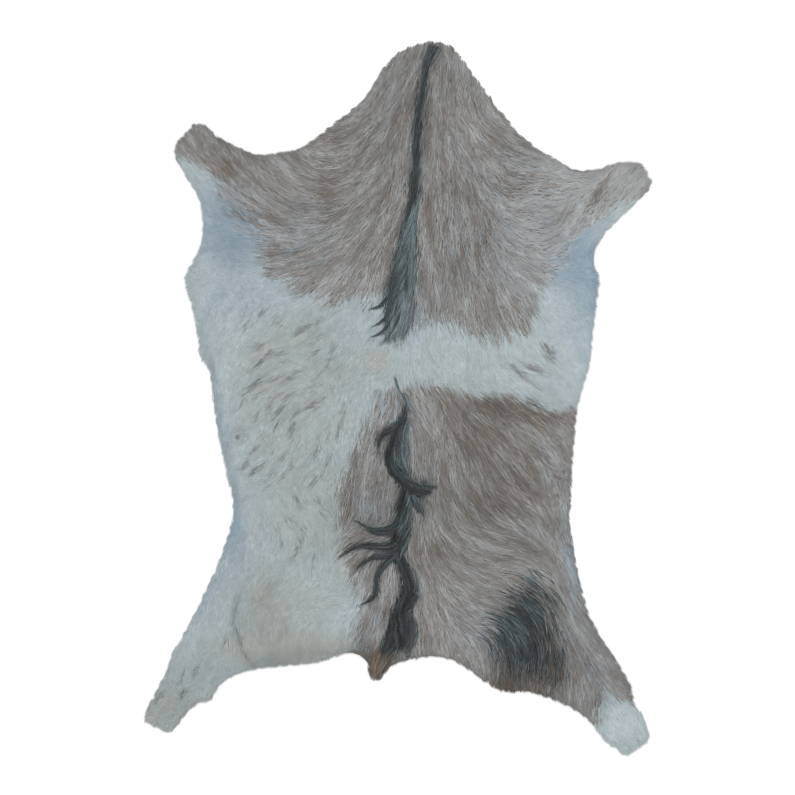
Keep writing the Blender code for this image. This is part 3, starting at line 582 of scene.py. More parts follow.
# Pigment and brightness of hairs whose tips are near the points: the markings decide. stray is
# how far a hair's lock carries the borders with it.
def pigmentAt(x, y, dice, stray):
    px, py = x + stray[:, 0], y + stray[:, 1]
    darkDistance, slateDistance, maneShare = (lookUp(fields[name], px, py)
                                              for name in ("dark", "slate", "mane"))
    blue, cream, brown, pale = (np.clip(lookUp(fields[tint], x, y), 0, 1)
                                for tint in ("blue", "cream", "brown", "pale"))
    fleck, streak, tinge, cloud, shade, edge = (lookUp(fields[name], x, y) for name in
                                                ("fleck", "streak", "tinge", "cloud", "shade", "edge"))
    bluish, creamy = (pigmentPlace[tint] - pigmentPlace["white"] for tint in ("bluish", "cream"))
    browned, paled = (pigmentPlace[tint] - pigmentPlace["taupe"] for tint in ("brown", "paleTaupe"))
    chance = dice.random(x.shape)

    # White hair, with flecks, and drawn towards blue or cream
    whiteHair = drawn(chance, {name: share * fleck for name, share in marking["fleck"].items()}, "white")
    scatter = marking["creamSpread"] * tinge + marking["creamSpread"] * dice.normal(size=x.shape)
    tinted = whiteHair + blue * bluish + (cream + scatter) * creamy
    whiteHair = np.where(whiteHair == pigmentPlace["white"], tinted, whiteHair)

    # Dark hair: taupe roan with pale, brown and rust hairs
    browner = (marking["brown"] + marking["brownTinge"] * tinge) * (1 - marking["brownLostToPale"] * pale)
    browner += marking["brownPatch"] * brown
    paler = marking["pale"] + marking["paleStreak"] * streak - marking["paleTinge"] * tinge
    paler = (paler + marking["palePatch"] * pale) * (1 - marking["paleLostToBrown"] * brown)
    darkHair = drawn(chance, {"bluish": marking["blueInDark"] * blue, "paleTaupe": paler, "brown": browner,
                              "rust": marking["rustToBrown"] * browner}, "taupe")
    toBrown = np.clip(marking["towardsBrown"] * brown + marking["towardsBrownTinge"] * tinge, 0, 1) * browned
    toPale = marking["towardsPale"] * pale * paled
    darkHair = np.where(darkHair == pigmentPlace["taupe"], darkHair + toBrown + toPale, darkHair)

    # Slate hair, on the haunch and under the mane
    border = slateDistance + marking["slateBorderStreak"] * streak + marking["slateBorderCloud"] * cloud
    inSlate = smoothStep(*marking["slateBorder"], border)
    slateHair = drawn(chance, {
        "black": marking["black"] + marking["blackPatch"] * brown - marking["slateStreak"] * streak,
        "brown": marking["brownInSlate"] * brown, "teal": marking["teal"] + marking["slateStreak"] * streak,
        "paleTaupe": marking["paleInSlate"]}, "slate")
    darkHair = np.where(dice.random(x.shape) < inSlate, slateHair, darkHair)
    scatter = marking["borderScatter"] * dice.normal(size=x.shape) + marking["borderStreak"] * streak
    dark = darkDistance + scatter > 0
    inMane = dice.random(x.shape) < maneShare
    place = np.where(inMane, slateHair, np.where(dark, darkHair, whiteHair))

    # Brightness: streaks, and painted shade along the rim
    tone = 1 + np.where(dark, 1.0, marking["toneInWhite"]) * marking["tone"] * (streak + cloud)
    tone = tone * np.where(dark & (place == pigmentPlace["bluish"]), marking["bluishInDark"], 1)
    rimPaintedShade = np.where(dark, marking["rimPaintedShade"], marking["rimPaintedShadeInWhite"])
    tone = tone * (1 - rimPaintedShade * smoothStep(marking["rim"], 0.0, edge))
    place = np.clip(place + marking["placeScatter"] * dice.normal(size=x.shape), 0.02, 0.98)
    return place, shade * tone, dark | inMane


# One socket in a shader: an expression on it adds the Math nodes
class Wire:
    def __init__(self, tree, socket=None):
        self.tree, self.socket = tree, socket

    def node(self, kind, settings=None, values=None, output=0):
        made = self.tree.nodes.new(kind)
        for name, value in (settings or {}).items():
            setattr(made, name, value)
        for key, value in (values or {}).items():
            if isinstance(value, Wire):
                self.tree.links.new(value.socket, made.inputs[key])
            else:
                made.inputs[key].default_value = value
        return Wire(self.tree, made.outputs[output])

    def maths(self, operation, a, b=0.0, clamp=False):
        return self.node("ShaderNodeMath", {"operation": operation, "use_clamp": clamp}, {0: a, 1: b})

    def __add__(self, other):
        return self.maths("ADD", self, other)

    def __sub__(self, other):
        return self.maths("SUBTRACT", self, other)

    def __rsub__(self, other):
        return self.maths("SUBTRACT", other, self)

    def __mul__(self, other):
        return self.maths("MULTIPLY", self, other)

    def __truediv__(self, other):
        return self.maths("DIVIDE", self, other)

    __radd__, __rmul__ = __add__, __mul__

    def clamped(self):
        return self.maths("ADD", self, 0.0, clamp=True)

    def mixed(self, first, second):
        return self.node("ShaderNodeMix", {"data_type": "RGBA"}, {0: self, 6: first, 7: second}, output=2)

    def scaled(self, factor):
        return self.node("ShaderNodeVectorMath", {"operation": "SCALE"}, {0: self, 3: factor})

    def into(self, shader, name):
        self.tree.links.new(self.socket, shader.inputs[name])


# Linear light of an sRGB colour, times a factor
def linear(colour, factor=1.0):
    share = np.array(colour) / 255.0
    value = np.where(share <= 0.04045, share / 12.92, ((share + 0.055) / 1.055) ** 2.4) * factor
    return (*[float(v) for v in value], 1.0)


def newMaterial(name, roughness=0.6, specular=0.3):
    material = bpy.data.materials.new(name)
    material.use_nodes = True
    shader = material.node_tree.nodes["Principled BSDF"]
    shader.inputs["Roughness"].default_value = roughness
    shader.inputs["Specular IOR Level"].default_value = specular
    return material, Wire(material.node_tree), shader


# Hair: the map's U picks the pigment and its V the brightness. Dark hair is sleeker.
def hairMaterial():
    material, start, shader = newMaterial("goatHair")
    uv = start.node("ShaderNodeUVMap", {"uv_map": "OFBake"})
    place = start.node("ShaderNodeSeparateXYZ", None, {0: uv})
    shade = start.node("ShaderNodeSeparateXYZ", None, {0: uv}, output=1)
    names = list(pigments)
    colour = linear(pigments[names[0]], finish["lift"])
    for before, name in zip(names, names[1:]):
        step = (place - pigmentPlace[before]) / (pigmentPlace[name] - pigmentPlace[before])
        colour = step.clamped().mixed(colour, linear(pigments[name], finish["lift"]))
    span = brightness["most"] - brightness["least"]
    colour.scaled(brightness["least"] + span * shade).into(shader, "Base Color")
    (finish["roughness"] - finish["sleek"] * place).into(shader, "Roughness")
    return material


# Tanned skin: suede with a fine nap, and paler and darker clouds
def skinMaterial():
    material, start, shader = newMaterial("tannedSkin", 0.85, 0.2)
    where = start.node("ShaderNodeTexCoord", output=3)
    clouds = start.node("ShaderNodeTexNoise", None,
                        {"Vector": where, "Scale": suede["clouds"], "Detail": 4.0})
    nap = start.node("ShaderNodeTexNoise", None, {"Vector": where, "Scale": suede["nap"], "Detail": 3.0})
    colour = clouds.mixed(suede["dark"], suede["pale"])
    colour.scaled(0.85 + 0.3 * nap).into(shader, "Base Color")
    (0.75 + 0.2 * nap).into(shader, "Roughness")
    bump = start.node("ShaderNodeBump", None,
                      {"Strength": suede["bump"], "Distance": suede["napDepth"], "Height": nap})
    bump.into(shader, "Normal")
    return material


# A mesh from whole arrays: corner numbers face after face, and how many each face has
def meshObject(name, vertices, loops, lengths, material, uv=None, normals=None):
    mesh = bpy.data.meshes.new(name)
    mesh.vertices.add(len(vertices))
    mesh.vertices.foreach_set("co", vertices.astype(np.float32).ravel())
    mesh.loops.add(len(loops))
    mesh.loops.foreach_set("vertex_index", loops.astype(np.int32))
    mesh.polygons.add(len(lengths))
    starts = np.concatenate([[0], np.cumsum(lengths)[:-1]])
    mesh.polygons.foreach_set("loop_start", starts.astype(np.int32))
    mesh.polygons.foreach_set("use_smooth", np.ones(len(lengths), bool))
    if uv is not None:
        layer = mesh.uv_layers.new(name="OFBake")
        layer.data.foreach_set("uv", uv[loops].astype(np.float32).ravel())
    mesh.update(calc_edges=True)
    if normals is not None:
        mesh.normals_split_custom_set_from_vertices(normals.tolist())
    mesh.materials.append(material)
    piece = bpy.data.objects.new(name, mesh)
    bpy.context.scene.collection.objects.link(piece)
    return piece


# Several sets of arrays as one mesh: each set's corner numbers move up by the points before it
def joinedMesh(name, parts, material):
    vertices, loops, lengths, uv, normals = zip(*parts)
    firsts = np.cumsum([0] + [len(v) for v in vertices[:-1]])
    loops = np.concatenate([part + first for part, first in zip(loops, firsts)])
    return meshObject(name, np.vstack(vertices), loops, np.concatenate(lengths), material, np.vstack(uv),
                      np.vstack(normals))


# Place of a brightness on the map's V
def mapValue(shade):
    share = (shade - brightness["least"]) / (brightness["most"] - brightness["least"])
    return np.clip(share, 0.01, 0.98)


# Hairs as arrays for a mesh: each is a roof-shaped section with three corners, carried along its
# own path and drawn to a point. centres is hairs x stations x 3, and the last station is the tip.
# Its normals lean out to either side by roundness, and otherwise point up from the coat.
def hairArrays(centres, halfWidths, roof, place, shade, roundness):
    count, stations = centres.shape[:2]
    rings = stations - 1
    along = np.gradient(centres[:, :, :2], axis=1)
    along /= np.linalg.norm(along, axis=2, keepdims=True) + 1e-12
    across = np.stack([-along[..., 1], along[..., 0], np.zeros(along.shape[:2])], axis=2)[:, :rings]
    width = halfWidths[:, :, None]
    ridge = np.array([0.0, 0.0, roof])
    middle = centres[:, :rings]
    eaves, crest = 0.4, 0.6          # shares of the roof's height under and over the path
    section = [middle - (across + eaves * ridge) * width, middle + crest * ridge * width,
               middle + (across - eaves * ridge) * width]
    ringPoints = np.stack(section, axis=2).reshape(count, rings * 3, 3)
    vertices = np.concatenate([ringPoints, centres[:, -1:]], axis=1)
    faces, lengths = [0, 1, 2], [3]
    for ring in range(rings - 1):
        for corner in range(3):
            here, beside = 3 * ring + corner, 3 * ring + (corner + 1) % 3
            faces += [here, here + 3, beside + 3, beside]
            lengths.append(4)
    for corner in range(3):
        faces += [3 * rings - 3 + corner, 3 * rings, 3 * rings - 3 + (corner + 1) % 3]
        lengths.append(3)
    loops = (np.array(faces)[None, :] + (3 * rings + 1) * np.arange(count)[:, None]).ravel()
    apart = 0.004                    # keeps a hair's corners apart on the map
    spread = np.array([-apart, 0.0, apart] * rings + [0.0])
    lift = np.array([0.0, apart, 0.0] * rings + [0.0])
    value = np.concatenate([np.repeat(shade[:, :rings], 3, axis=1), shade[:, -1:]], axis=1)
    uv = np.stack([place[:, None] + spread, mapValue(value) + lift], axis=2).reshape(-1, 2)
    sides = np.array([-1, 0, 1])[None, None, :, None]
    lean = across[:, :, None] * sides * np.reshape(roundness, (-1, 1, 1, 1))
    normals = np.concatenate([lean.reshape(count, rings * 3, 3), np.zeros((count, 1, 3))], axis=1)
    normals[..., 2] += 1
    normals /= np.linalg.norm(normals, axis=2, keepdims=True)
    return vertices.reshape(-1, 3), loops, np.tile(lengths, count), uv, normals.reshape(-1, 3)


# The skin and the wool on it: sizes in metres
hide = {
    "around": 260, "ringsTop": 20, "ringsBelow": 5, "inset": 0.0050, "thickness": 0.0016, "seed": 11,
    "liftOfRim": 0.0007, "waveCell": 0.035, "rim": 0.03}
wool = {
    "around": 300, "ringsTop": 40, "ringsBelow": 3, "inset": 0.0024, "slope": 0.014, "seed": 12,
    # shade and whiteShade darken the wool as painted shade under the hairs
    "share": 0.55, "whiteShare": 0.73, "whiteBorder": (0.002, -0.008), "shade": 0.58, "whiteShade": 0.62,
    "lump": 0.0004, "lumpCell": 0.006, "swell": 0.00056, "swellCell": 0.014, "whiteCalm": 0.7,
    "overSkin": 0.0002, "least": 0.0004, "atRim": 0.0006}
ringCrowding = 0.8      # under 1, the rings lie closer together towards the rim


# Each side is a set of rings, the outline times a share that falls to 0 in the middle, at the
# height that its function gives. A wall of triangles joins the two outermost rings.
def slab(name, outline, ringsTop, ringsBelow, top, below, material, uvAt=None):
    count = len(outline)
    vertices, loops = [], []
    for rings, height, upwards in ((ringsTop, top, True), (ringsBelow, below, False)):
        shares = np.linspace(1, 0, rings + 1)[:rings] ** ringCrowding
        flat = (shares[:, None, None] * outline[None]).reshape(-1, 2)
        flat = np.vstack([flat, [[0.0, 0.0]]])
        first = sum(len(v) for v in vertices)
        vertices.append(np.column_stack([flat, height(flat[:, 0], flat[:, 1])]))
        k = np.arange(count)
        follow = (k + 1) % count
        for ring in range(rings - 1):
            quad = np.stack([k, follow, follow + count, k + count], axis=1) + first + ring * count
            quad = np.concatenate([quad[:, [0, 1, 2]], quad[:, [0, 2, 3]]])
            loops.append(quad if upwards else quad[:, ::-1])
        fan = np.stack([k, follow, np.full(count, count)], axis=1) + first + (rings - 1) * count
        loops.append(fan if upwards else fan[:, ::-1])
    k = np.arange(count)
    follow, under = (k + 1) % count, len(vertices[0])
    loops += [np.stack([k, k + under, follow + under], axis=1), np.stack([k, follow + under, follow], axis=1)]
    vertices, loops = np.vstack(vertices), np.vstack(loops)
    uv = None if uvAt is None else uvAt(vertices)
    return meshObject(name, vertices, loops.ravel(), np.full(len(loops), 3), material, uv)


# The cut edge moved inwards by a set distance, which relaxing keeps free of crossings
def insetRim(count, distance):
    loop = relaxed(evenLoop(rim, count), rounds=3)
    if np.sum(loop[:, 0] * np.roll(loop[:, 1], -1) - np.roll(loop[:, 0], -1) * loop[:, 1]) < 0:
        loop = loop[::-1]
    along = np.roll(loop, -1, axis=0) - np.roll(loop, 1, axis=0)
    along /= np.linalg.norm(along, axis=1, keepdims=True)
    return relaxed(loop + distance * np.stack([-along[:, 1], along[:, 0]], axis=1), rounds=2)


# Hide: a slab of even thickness whose rim lifts off the floor in soft waves
def makeHide(material):
    dice = np.random.default_rng(hide["seed"])
    waves = 0.5 + 0.5 * np.clip(softNoise(gridX, gridY, hide["waveCell"], dice), -1, 1)
    nearRim = 1 - smoothStep(0.0, hide["rim"], fields["edge"])
    lifted = hide["liftOfRim"] * waves * nearRim
    return slab("hideSkin", insetRim(hide["around"], hide["inset"]), hide["ringsTop"], hide["ringsBelow"],
                lambda x, y: hide["thickness"] + lookUp(lifted, x, y), lambda x, y: lookUp(lifted, x, y),
                material)


# Wool: the short dense hair under the coat, a lumpy layer in the coat's own pigments, darkened as painted
# shade under the hairs
def makeWool(material):
    dice = np.random.default_rng(wool["seed"])
    lumps = wool["lump"] * softNoise(gridX, gridY, wool["lumpCell"], dice)
    lumps += wool["swell"] * softNoise(gridX, gridY, wool["swellCell"], dice)
    inner = smoothStep(0.0, wool["slope"], fields["edge"])
    skin = hide["thickness"] + wool["overSkin"]
    white = smoothStep(*wool["whiteBorder"], fields["dark"]) * (1 - np.clip(fields["mane"], 0, 1))
    share = wool["share"] + (wool["whiteShare"] - wool["share"]) * white
    lumps *= 1 - wool["whiteCalm"] * white
    height = skin + wool["atRim"] + inner * (share * fields["top"] - skin + lumps)
    height = np.maximum(height, skin + wool["least"])

    def uvAt(vertices):
        x, y = vertices[:, 0], vertices[:, 1]
        blue, cream = (np.clip(lookUp(fields[tint], x, y), 0, 1) for tint in ("blue", "cream"))
        dark, slate = lookUp(fields["dark"], x, y) > 0, lookUp(fields["slate"], x, y) > 0
        place = pigmentPlace["white"] + (pigmentPlace["bluish"] - pigmentPlace["white"]) * blue
        place += (pigmentPlace["cream"] - pigmentPlace["white"]) * cream
        browner = np.clip(lookUp(fields["brown"], x, y), 0, 1)
        browner *= pigmentPlace["brown"] - pigmentPlace["taupe"]
        place = np.where(dark, np.where(slate, pigmentPlace["slate"], pigmentPlace["taupe"] + browner), place)
        # Darker than the hairs, as painted shade under them
        shade = np.where(dark, wool["shade"], wool["whiteShade"]) * lookUp(fields["shade"], x, y)
        return np.stack([place, mapValue(shade)], axis=1)

    return slab("underWool", insetRim(wool["around"], wool["inset"]), wool["ringsTop"], wool["ringsBelow"],
                lambda x, y: lookUp(height, x, y), lambda x, y: np.full(x.shape, skin), material, uvAt)


# The coat's hairs: sizes in metres, spreads as shares. The short hairs are straight, and the longer ones
# have more stations, to bend.
coat = {
    "seed": 20, "walkSteps": 8, "roof": 0.35, "roundness": 0.5, "whiteRoundness": 0.4,
    "lengthSpread": (0.72, 1.2), "widthSpread": (0.75, 1.3), "shortest": 0.004, "countedAs": 0.007,
    "taper": 0.45, "taperCurve": 1.5, "tipPastEdge": (-0.0015, 0.0022), "rootPastEdge": -0.0024,
    "lockGap": 0.0085, "lockWidth": 0.6, "lockTurn": 0.09, "lockShade": 0.03,
    "lockStray": 0.0030, "hairTurn": 0.09, "bend": 0.18, "bendOfLock": 0.7, "clump": 0.45,
    "clumpCurve": 1.5, "clumpFrom": (0.004, 0.02),
    "rimCrowd": 2.0, "rimCrowdWidth": 0.010, "rimCrowdRise": 0.004, "tintFrom": 0.72,
    "level": 0.92, "loose": 0.35, "whiteLoose": 0.14, "shagLoose": 0.6, "lockLevel": 0.20,
    "middleLevel": 0.16, "hairLevel": 0.12, "whiteRise": 0.75, "whiteShade": 0.84, "whiteTone": 0.35,
    "whiteWidth": 0.85, "hairShade": 0.055, "lockEdgePaintedShade": 0.04, "rootDarkAndShade": 0.10, "underMane": 0.3,
    "leastTop": 0.0025, "pastEdgeTop": 0.0012, "pastEdgeShare": 0.3, "riseCurve": 0.6, "least": 0.0009}
hairSorts = {
    "short": {"hairs": 122000, "gap": 0.00135, "reach": 0.62, "halfWidth": 0.00052, "root": 0.63,
              "inWhite": 1.1, "stations": (0.0, 1.0)},
    "middle": {"hairs": 21000, "gap": 0.0030, "reach": 0.95, "halfWidth": 0.00042, "root": 0.50,
               "inWhite": 0.6, "stations": (0.0, 0.45, 1.0)},
    "long": {"hairs": 4500, "gap": 0.0060, "reach": 1.25, "halfWidth": 0.00040, "root": 0.46,
             "inWhite": 0.4, "stations": (0.0, 0.3, 0.68, 1.0)}}


# Paths that follow the lay of the coat: equal steps, each turned by the hair's own lean and bend
def walkAlongLay(x, y, length, lean, bend):
    steps = coat["walkSteps"]
    path = [np.stack([x, y], axis=1)]
    for k in range(steps):
        layX, layY = lookUp(fields["layX"], x, y), lookUp(fields["layY"], x, y)
        turn = lean + bend * (2 * (k + 0.5) / steps - 1)
        size = np.hypot(layX, layY) + 1e-9
        cosine, sine = np.cos(turn), np.sin(turn)
        x = x + (layX * cosine - layY * sine) / size * length / steps
        y = y + (layX * sine + layY * cosine) / size * length / steps
        path.append(np.stack([x, y], axis=1))
    return np.stack(path, axis=1)


# Points on a path at a share of its length, where the path has equal steps
def pathAt(path, share):
    place = np.clip(share, 0, 0.9999) * (path.shape[1] - 1)      # stays within the last step
    k = place.astype(int)
    row = np.arange(len(path))
    rest = (place - k)[:, None]
    return path[row, k] * (1 - rest) + path[row, k + 1] * rest


# Places on a grid of the given gap, each moved by up to half of it, on the skin or just past its edge
def scattered(gap, dice):
    x = np.arange(gridX.min(), gridX.max(), gap)
    y = np.arange(gridY.min(), gridY.max(), gap)
    x, y = (axis.ravel() for axis in np.meshgrid(x, y))
    x, y = x + gap * dice.uniform(-0.5, 0.5, x.shape), y + gap * dice.uniform(-0.5, 0.5, y.shape)
    keep = lookUp(fields["edge"], x, y) > coat["rootPastEdge"]
    return x[keep], y[keep]


# The locks that hairs gather in: a middle, a turn, a shade, a level and a stray of the markings
def layLocks(dice):
    x, y = scattered(coat["lockGap"], dice)
    count = len(x)
    locks = {"x": x, "y": y, "turn": coat["lockTurn"] * dice.normal(size=count),
             "shade": coat["lockShade"] * dice.normal(size=count), "level": dice.uniform(-1, 1, count),
             "stray": coat["lockStray"] * dice.normal(size=(count, 2))}
    guide = walkAlongLay(x, y, lookUp(fields["length"], x, y), locks["turn"], 0 * x)
    aim = guide[:, -1] - guide[:, 0]
    locks["aim"] = aim / (np.linalg.norm(aim, axis=1, keepdims=True) + 1e-9)
    locks["tree"] = KDTree(count)
    for k, place in enumerate(zip(x.tolist(), y.tolist())):
        locks["tree"].insert((*place, 0.0), k)
    locks["tree"].balance()
    return locks


# Hairs of one sort: where they grow, their paths cut off at the rim, their lock and their tint
def growSort(name, locks, dice):
    sort = hairSorts[name]
    x, y = scattered(sort["gap"], dice)
    find = locks["tree"].find
    lock = np.array([find((px, py, 0.0))[1] for px, py in zip(x.tolist(), y.tolist())])
    length = sort["reach"] * lookUp(fields["length"], x, y) * dice.uniform(*coat["lengthSpread"], len(x))
    turn = locks["turn"][lock]
    lean = turn + coat["hairTurn"] * dice.normal(size=len(x))
    bend = coat["bend"] * (dice.normal(size=len(x)) + coat["bendOfLock"] * np.sign(turn))
    path = walkAlongLay(x, y, length, lean, bend)

    # The part of the path before the rim, or a little past it
    pastEdge = -dice.uniform(*coat["tipPastEdge"], len(x))
    gone = lookUp(fields["edge"], path[..., 0], path[..., 1]) < pastEdge[:, None]
    gone[:, 0] = False
    first = np.where(gone.any(axis=1), gone.argmax(axis=1), coat["walkSteps"] + 1)
    share = np.clip((first - 0.5) / coat["walkSteps"], 0, 1)

    # Fewer hairs where they are long, and more where they grow inwards from the rim
    length = length * share
    density = np.where(length > coat["shortest"], 1 / np.maximum(length, coat["countedAs"]), 0)
    density = density * np.where(lookUp(fields["dark"], x, y) > 0, 1, sort["inWhite"])
    edge = lookUp(fields["edge"], x, y)
    inwards = (lookUp(fields["edge"], path[:, 2, 0], path[:, 2, 1]) - edge) / coat["rimCrowdRise"]
    crowd = coat["rimCrowd"] * np.clip(inwards, 0, 1) * smoothStep(coat["rimCrowdWidth"], 0.0, edge)
    density = density * (1 + crowd)
    wanted = sort["hairs"] * density / density.sum()
    keep = dice.random(len(x)) < wanted
    x, y, lock, share, path, edge = (a[keep] for a in (x, y, lock, share, path, edge))
    stage(f"{keep.sum()} {name} hairs, {100 * np.mean(wanted > 1):.1f}% of the places full")

    # Hairs of a lock draw together towards their tips
    aim = locks["aim"][lock]
    side = (y - locks["y"][lock]) * aim[:, 0] - (x - locks["x"][lock]) * aim[:, 1]
    steps = np.linspace(0, 1, path.shape[1])[None, :] ** coat["clumpCurve"]
    draw = coat["clump"] * smoothStep(*coat["clumpFrom"], edge)[:, None] * steps * side[:, None]
    path = path - draw[..., None] * np.stack([-aim[:, 1], aim[:, 0]], axis=1)[:, None, :]
    centred = 0.5 - np.clip(np.abs(side) / (coat["lockWidth"] * coat["lockGap"]), 0, 1) ** 2

    # Marking, level and shade: white hair lies more even than dark hair
    end = pathAt(path, coat["tintFrom"] * share)
    place, factor, dark = pigmentAt(end[:, 0], end[:, 1], dice, locks["stray"][lock])
    loose = np.where(dark, coat["loose"], coat["whiteLoose"])
    loose += coat["shagLoose"] * lookUp(fields["shag"], x, y)
    flat = np.where(dark, 1.0, coat["whiteRise"])
    level = coat["lockLevel"] * locks["level"][lock] + coat["middleLevel"] * centred
    level = level + coat["hairLevel"] * dice.normal(size=len(x))
    # Hairs at a lock's middle, where it stands highest, are a little brighter than at its edges: painted
    # light and shade on the lock
    tone = locks["shade"][lock] + coat["lockEdgePaintedShade"] * centred + coat["hairShade"] * dice.normal(size=len(x))
    shade = np.where(dark, 1.0, coat["whiteShade"]) * factor
    shade = shade * (1 + np.where(dark, 1.0, coat["whiteTone"]) * tone)
    return {"x": x, "y": y, "share": share, "path": path, "level": coat["level"] + loose * level,
            "dark": dark, "root": 1 - (1 - sort["root"]) * flat, "shade": shade, "place": place}


# Stations of the hairs in space: each rises from the wool and lies down on the coat
def hairStations(hair, pick, sort):
    path, share, level, root = (hair[key][pick] for key in ("path", "share", "level", "root"))
    centres = []
    for station in sort["stations"]:
        spot = pathAt(path, station * share)
        top = lookUp(fields["top"], spot[:, 0], spot[:, 1])
        edge = lookUp(fields["edge"], spot[:, 0], spot[:, 1])
        outside = coat["pastEdgeTop"] + coat["pastEdgeShare"] * np.maximum(top, mm)
        top = np.where(edge < 0, outside, np.maximum(top, coat["leastTop"]))
        rise = math.sin(station * math.pi / 2) ** coat["riseCurve"]
        top = top * (1 - coat["underMane"] * lookUp(fields["mane"], spot[:, 0], spot[:, 1]))
        height = top * (root * (1 - rise) + level * rise)
        centres.append(np.column_stack([spot, np.maximum(height, coat["least"])]))
    return np.stack(centres, axis=1)


# The pieces of the coat, each with the box that it takes from those above it: low and high x, low
# and high y, in metres
coatPieces = [
    ("neckHair", -1, 1, -1, 1),
    ("leftShoulderHair", -1, 0.02, -1, 0.335), ("rightShoulderHair", 0.02, 1, -1, 0.335),
    ("leftShoulderHair", -1, -0.13, 0.335, 1),
    ("leftFlankHair", -1, -0.02, -1, 0.115), ("rightFlankHair", -0.02, 1, -1, 0.115),
    ("leftThighHair", -1, -0.02, -1, -0.135), ("rightThighHair", -0.02, 1, -1, -0.135)]


# Name of the piece that each root belongs to: the last box that holds it
def regionOf(x, y):
    names = np.full(len(x), "", dtype=object)
    for name, lowX, highX, lowY, highY in coatPieces:
        names[(x >= lowX) & (x < highX) & (y >= lowY) & (y < highY)] = name
    return names


# The coat: every sort of hair grown, shared out to the pieces and made narrower towards its tip
def plantCoat(material):
    dice = np.random.default_rng(coat["seed"])
    locks = layLocks(dice)
    parts = {}
    for name, sort in hairSorts.items():
        hair = growSort(name, locks, dice)
        region = regionOf(hair["x"], hair["y"])
        for where in sorted(set(region)):
            pick = region == where
            centres = hairStations(hair, pick, sort)
            stations = np.array(sort["stations"])
            dark = hair["dark"][pick]
            width = sort["halfWidth"] * dice.uniform(*coat["widthSpread"], pick.sum())
            width = width * np.where(dark, 1, coat["whiteWidth"])
            taper = 1 - coat["taper"] * stations[:-1] ** coat["taperCurve"]
            # Darker towards the root in the dark coat: partly the hair's own darker base, partly painted
            # shade deep in the coat
            deep = np.where(dark, coat["rootDarkAndShade"], 0.0)[:, None] * (1 - stations)[None, :]
            values = hair["shade"][pick][:, None] * (1 - deep)
            arrays = hairArrays(centres, width[:, None] * taper, coat["roof"], hair["place"][pick], values,
                                np.where(dark, coat["roundness"], coat["whiteRoundness"]))
            parts.setdefault(where, []).append(arrays)
    return [joinedMesh(where, parts[where], material) for where in sorted(parts)]


